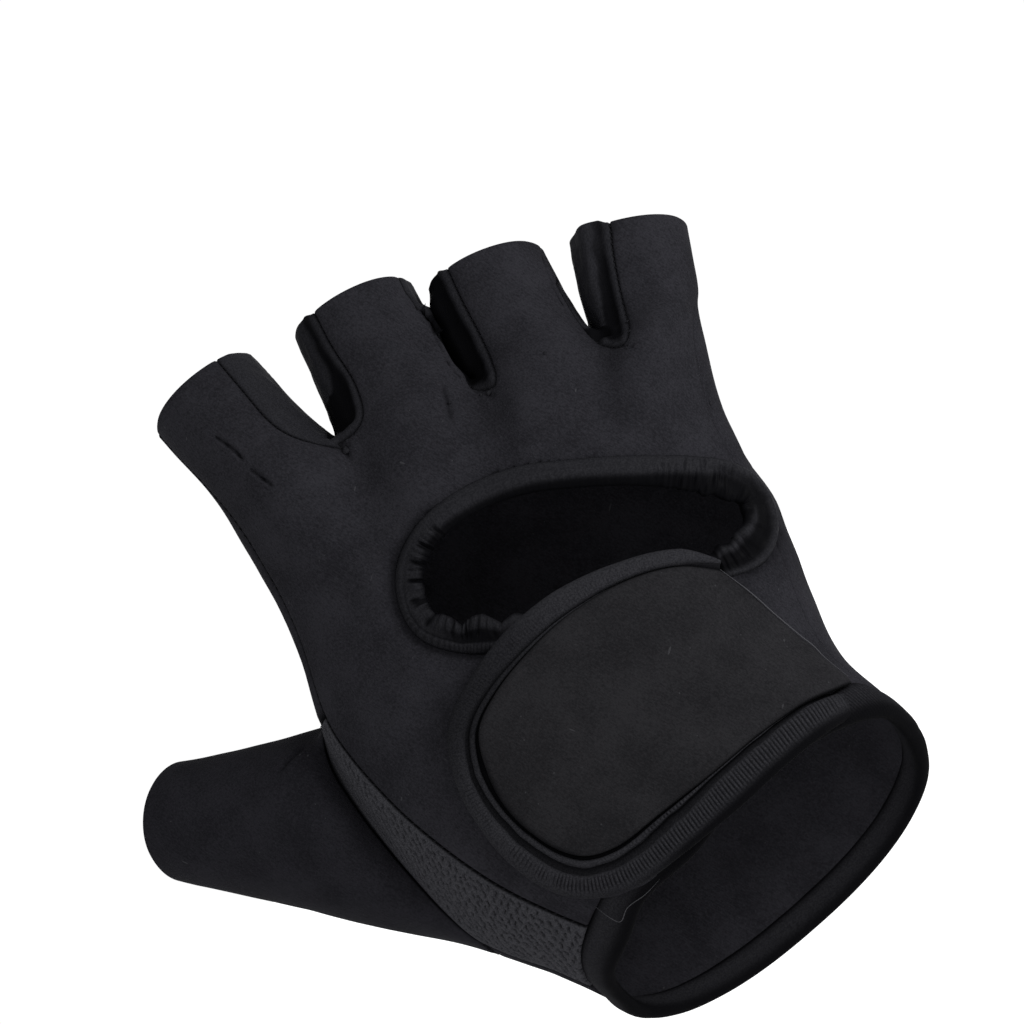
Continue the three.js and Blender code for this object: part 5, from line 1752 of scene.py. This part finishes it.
gusset_pairs = [(panel, name) for name in GUSSETS for panel in ("back_panel", "palm_panel")]
net_pairs = [("side_mesh", "back_panel")]
side_pairs = [("back_panel", "palm_panel"), ("thumb_sleeve", "palm_panel")]
finger_rows = rows_between(gusset_pairs, 1.05, -0.26)
finger_stitches = beads("finger_seam_stitches", finger_rows, thread, 0.62, 0.12, 0.7)
net_rows = rows_between(net_pairs, 1.6, -0.25)
net_stitches = beads("net_seam_stitches", net_rows, thread, 0.9, 0.14, 0.6)
side_rows = rows_between(side_pairs, 1.5, -0.12)
side_stitches = beads("side_seam_stitches", side_rows, thread, 0.8, 0.12, 0.3)

# Dark knots of thread by the webs and down the little-finger side: x, z and size
KNOTS = [
    (-16.1, 98.6, 0.8), (-15.0, 99.8, 0.4), (9.1, 92.3, 0.6), (7.9, 92.8, 0.35), (32.4, 84.7, 0.35),
    (34.6, 86.7, 0.33), (35.3, 88.3, 0.3), (20.8, 92.1, 0.32), (43.0, 80.5, 0.34), (38.6, 68.7, 0.38),
    (2.9, 94.8, 0.3),
]


def knots():
    rings = [(0.0, 0.02), (0.25, 0.7), (0.55, 0.97), (1.0, 0.6), (1.25, 0.05)]
    verts, faces = [], []
    for x, z, size in KNOTS:
        at = on_surface(x, z)
        up = np.array(tree.find_nearest(Vector(at))[1])
        ahead = unit(np.cross(up, np.array([0.8, 0.0, -0.6])))
        side = np.cross(up, ahead)
        faces += tube_faces(len(verts), len(rings), KNOT_SIDES)
        for level, reach in rings:
            for a in turns(KNOT_SIDES):
                spread = size * reach * (1 + 0.18 * math.sin(3 * a + size * 40))
                reached = (ahead * math.cos(a) + side * math.sin(a)) * spread
                verts.append(at + up * (level - 0.75) * size * 0.7 + reached)
    return make_piece("web_knots", np.array(verts), facing_out(verts, faces), elastic)


web_knots = knots()

# The loose end of thread beside the strap's lower end, how high it lies and its radius
LOOSE_LIFT = 1.3
LOOSE_RADIUS = 0.06
LOOSE_THREAD = [(-26.6, 12.4), (-25.6, 9.2), (-24.6, 7.7), (-22.4, 8.9), (-18.6, 9.0), (-15.3, 9.6)]
loose_curve, _ = smooth_curve(LOOSE_THREAD, False, 0.4)
loose_path = back.lifted(*loose_curve.T, np.full(len(loose_curve), LOOSE_LIFT))
loose_normal = back.normal(*loose_curve.T)
loose_thread = thread_along("loose_thread", loose_path, loose_normal, LOOSE_RADIUS, pale_thread_and_highlight)


# Floor, light and camera
TARGET = Vector((0.5, 0.0, 73.6)) * MM
RIGHT = Vector((0.809, 0, -0.588))
UP = Vector((0.588, 0, 0.809))
TOWARDS_CAMERA = Vector((0, -1, 0))
FLOOR_HALF = 5.0
FLOOR_Z = -0.075

floor_mesh = bpy.data.meshes.new("Floor")
floor_corners = [(a * FLOOR_HALF, b * FLOOR_HALF, FLOOR_Z) for a, b in ((-1, -1), (1, -1), (1, 1), (-1, 1))]
floor_mesh.from_pydata(floor_corners, [], [(0, 1, 2, 3)])
floor = bpy.data.objects.new("Floor", floor_mesh)
bpy.context.scene.collection.objects.link(floor)
pale = Nodes("FloorPale", 0.9, (0.9, 0.9, 0.9), 0.1)
pale.fill(pale.shader, {"Emission Color": (1, 1, 1), "Emission Strength": 0.35})
floor_mesh.materials.append(pale.material)

world = bpy.data.worlds.new("Studio")
bpy.context.scene.world = world
world.use_nodes = True
world.node_tree.nodes["Background"].inputs["Color"].default_value = (1, 1, 1, 1)
world.node_tree.nodes["Background"].inputs["Strength"].default_value = 1.02


def soft_light(name, direction, distance, size, watts):
    data = bpy.data.lights.new(name, "AREA")
    data.shape = "DISK"
    data.size = size
    data.energy = watts
    light = bpy.data.objects.new(name, data)
    bpy.context.scene.collection.objects.link(light)
    place = RIGHT * direction[0] + UP * direction[1] + TOWARDS_CAMERA * direction[2]
    light.location = TARGET + place.normalized() * distance
    light.rotation_euler = (-place).to_track_quat("-Z", "Y").to_euler()


soft_light("Key", (0.8, 0.9, 0.7), 0.42, 0.22, 2.2)
soft_light("Fill", (-0.8, -0.2, 0.9), 1.1, 0.8, 3.0)

CAMERA_DISTANCE = 1.25
VIEW_WIDTH = 0.1736
camera_data = bpy.data.cameras.new("Camera")
camera_data.sensor_width = 36
camera_data.lens = camera_data.sensor_width * CAMERA_DISTANCE / VIEW_WIDTH
camera_data.clip_start = 0.05
camera_data.clip_end = 30
camera = bpy.data.objects.new("Camera", camera_data)
bpy.context.scene.collection.objects.link(camera)
turn = Matrix((RIGHT, UP, TOWARDS_CAMERA)).transposed().to_4x4()
camera.matrix_world = Matrix.Translation(TARGET + TOWARDS_CAMERA * CAMERA_DISTANCE) @ turn
bpy.context.scene.camera = camera
bpy.context.scene.view_settings.view_transform = "Standard"

bpy.context.view_layer.update()
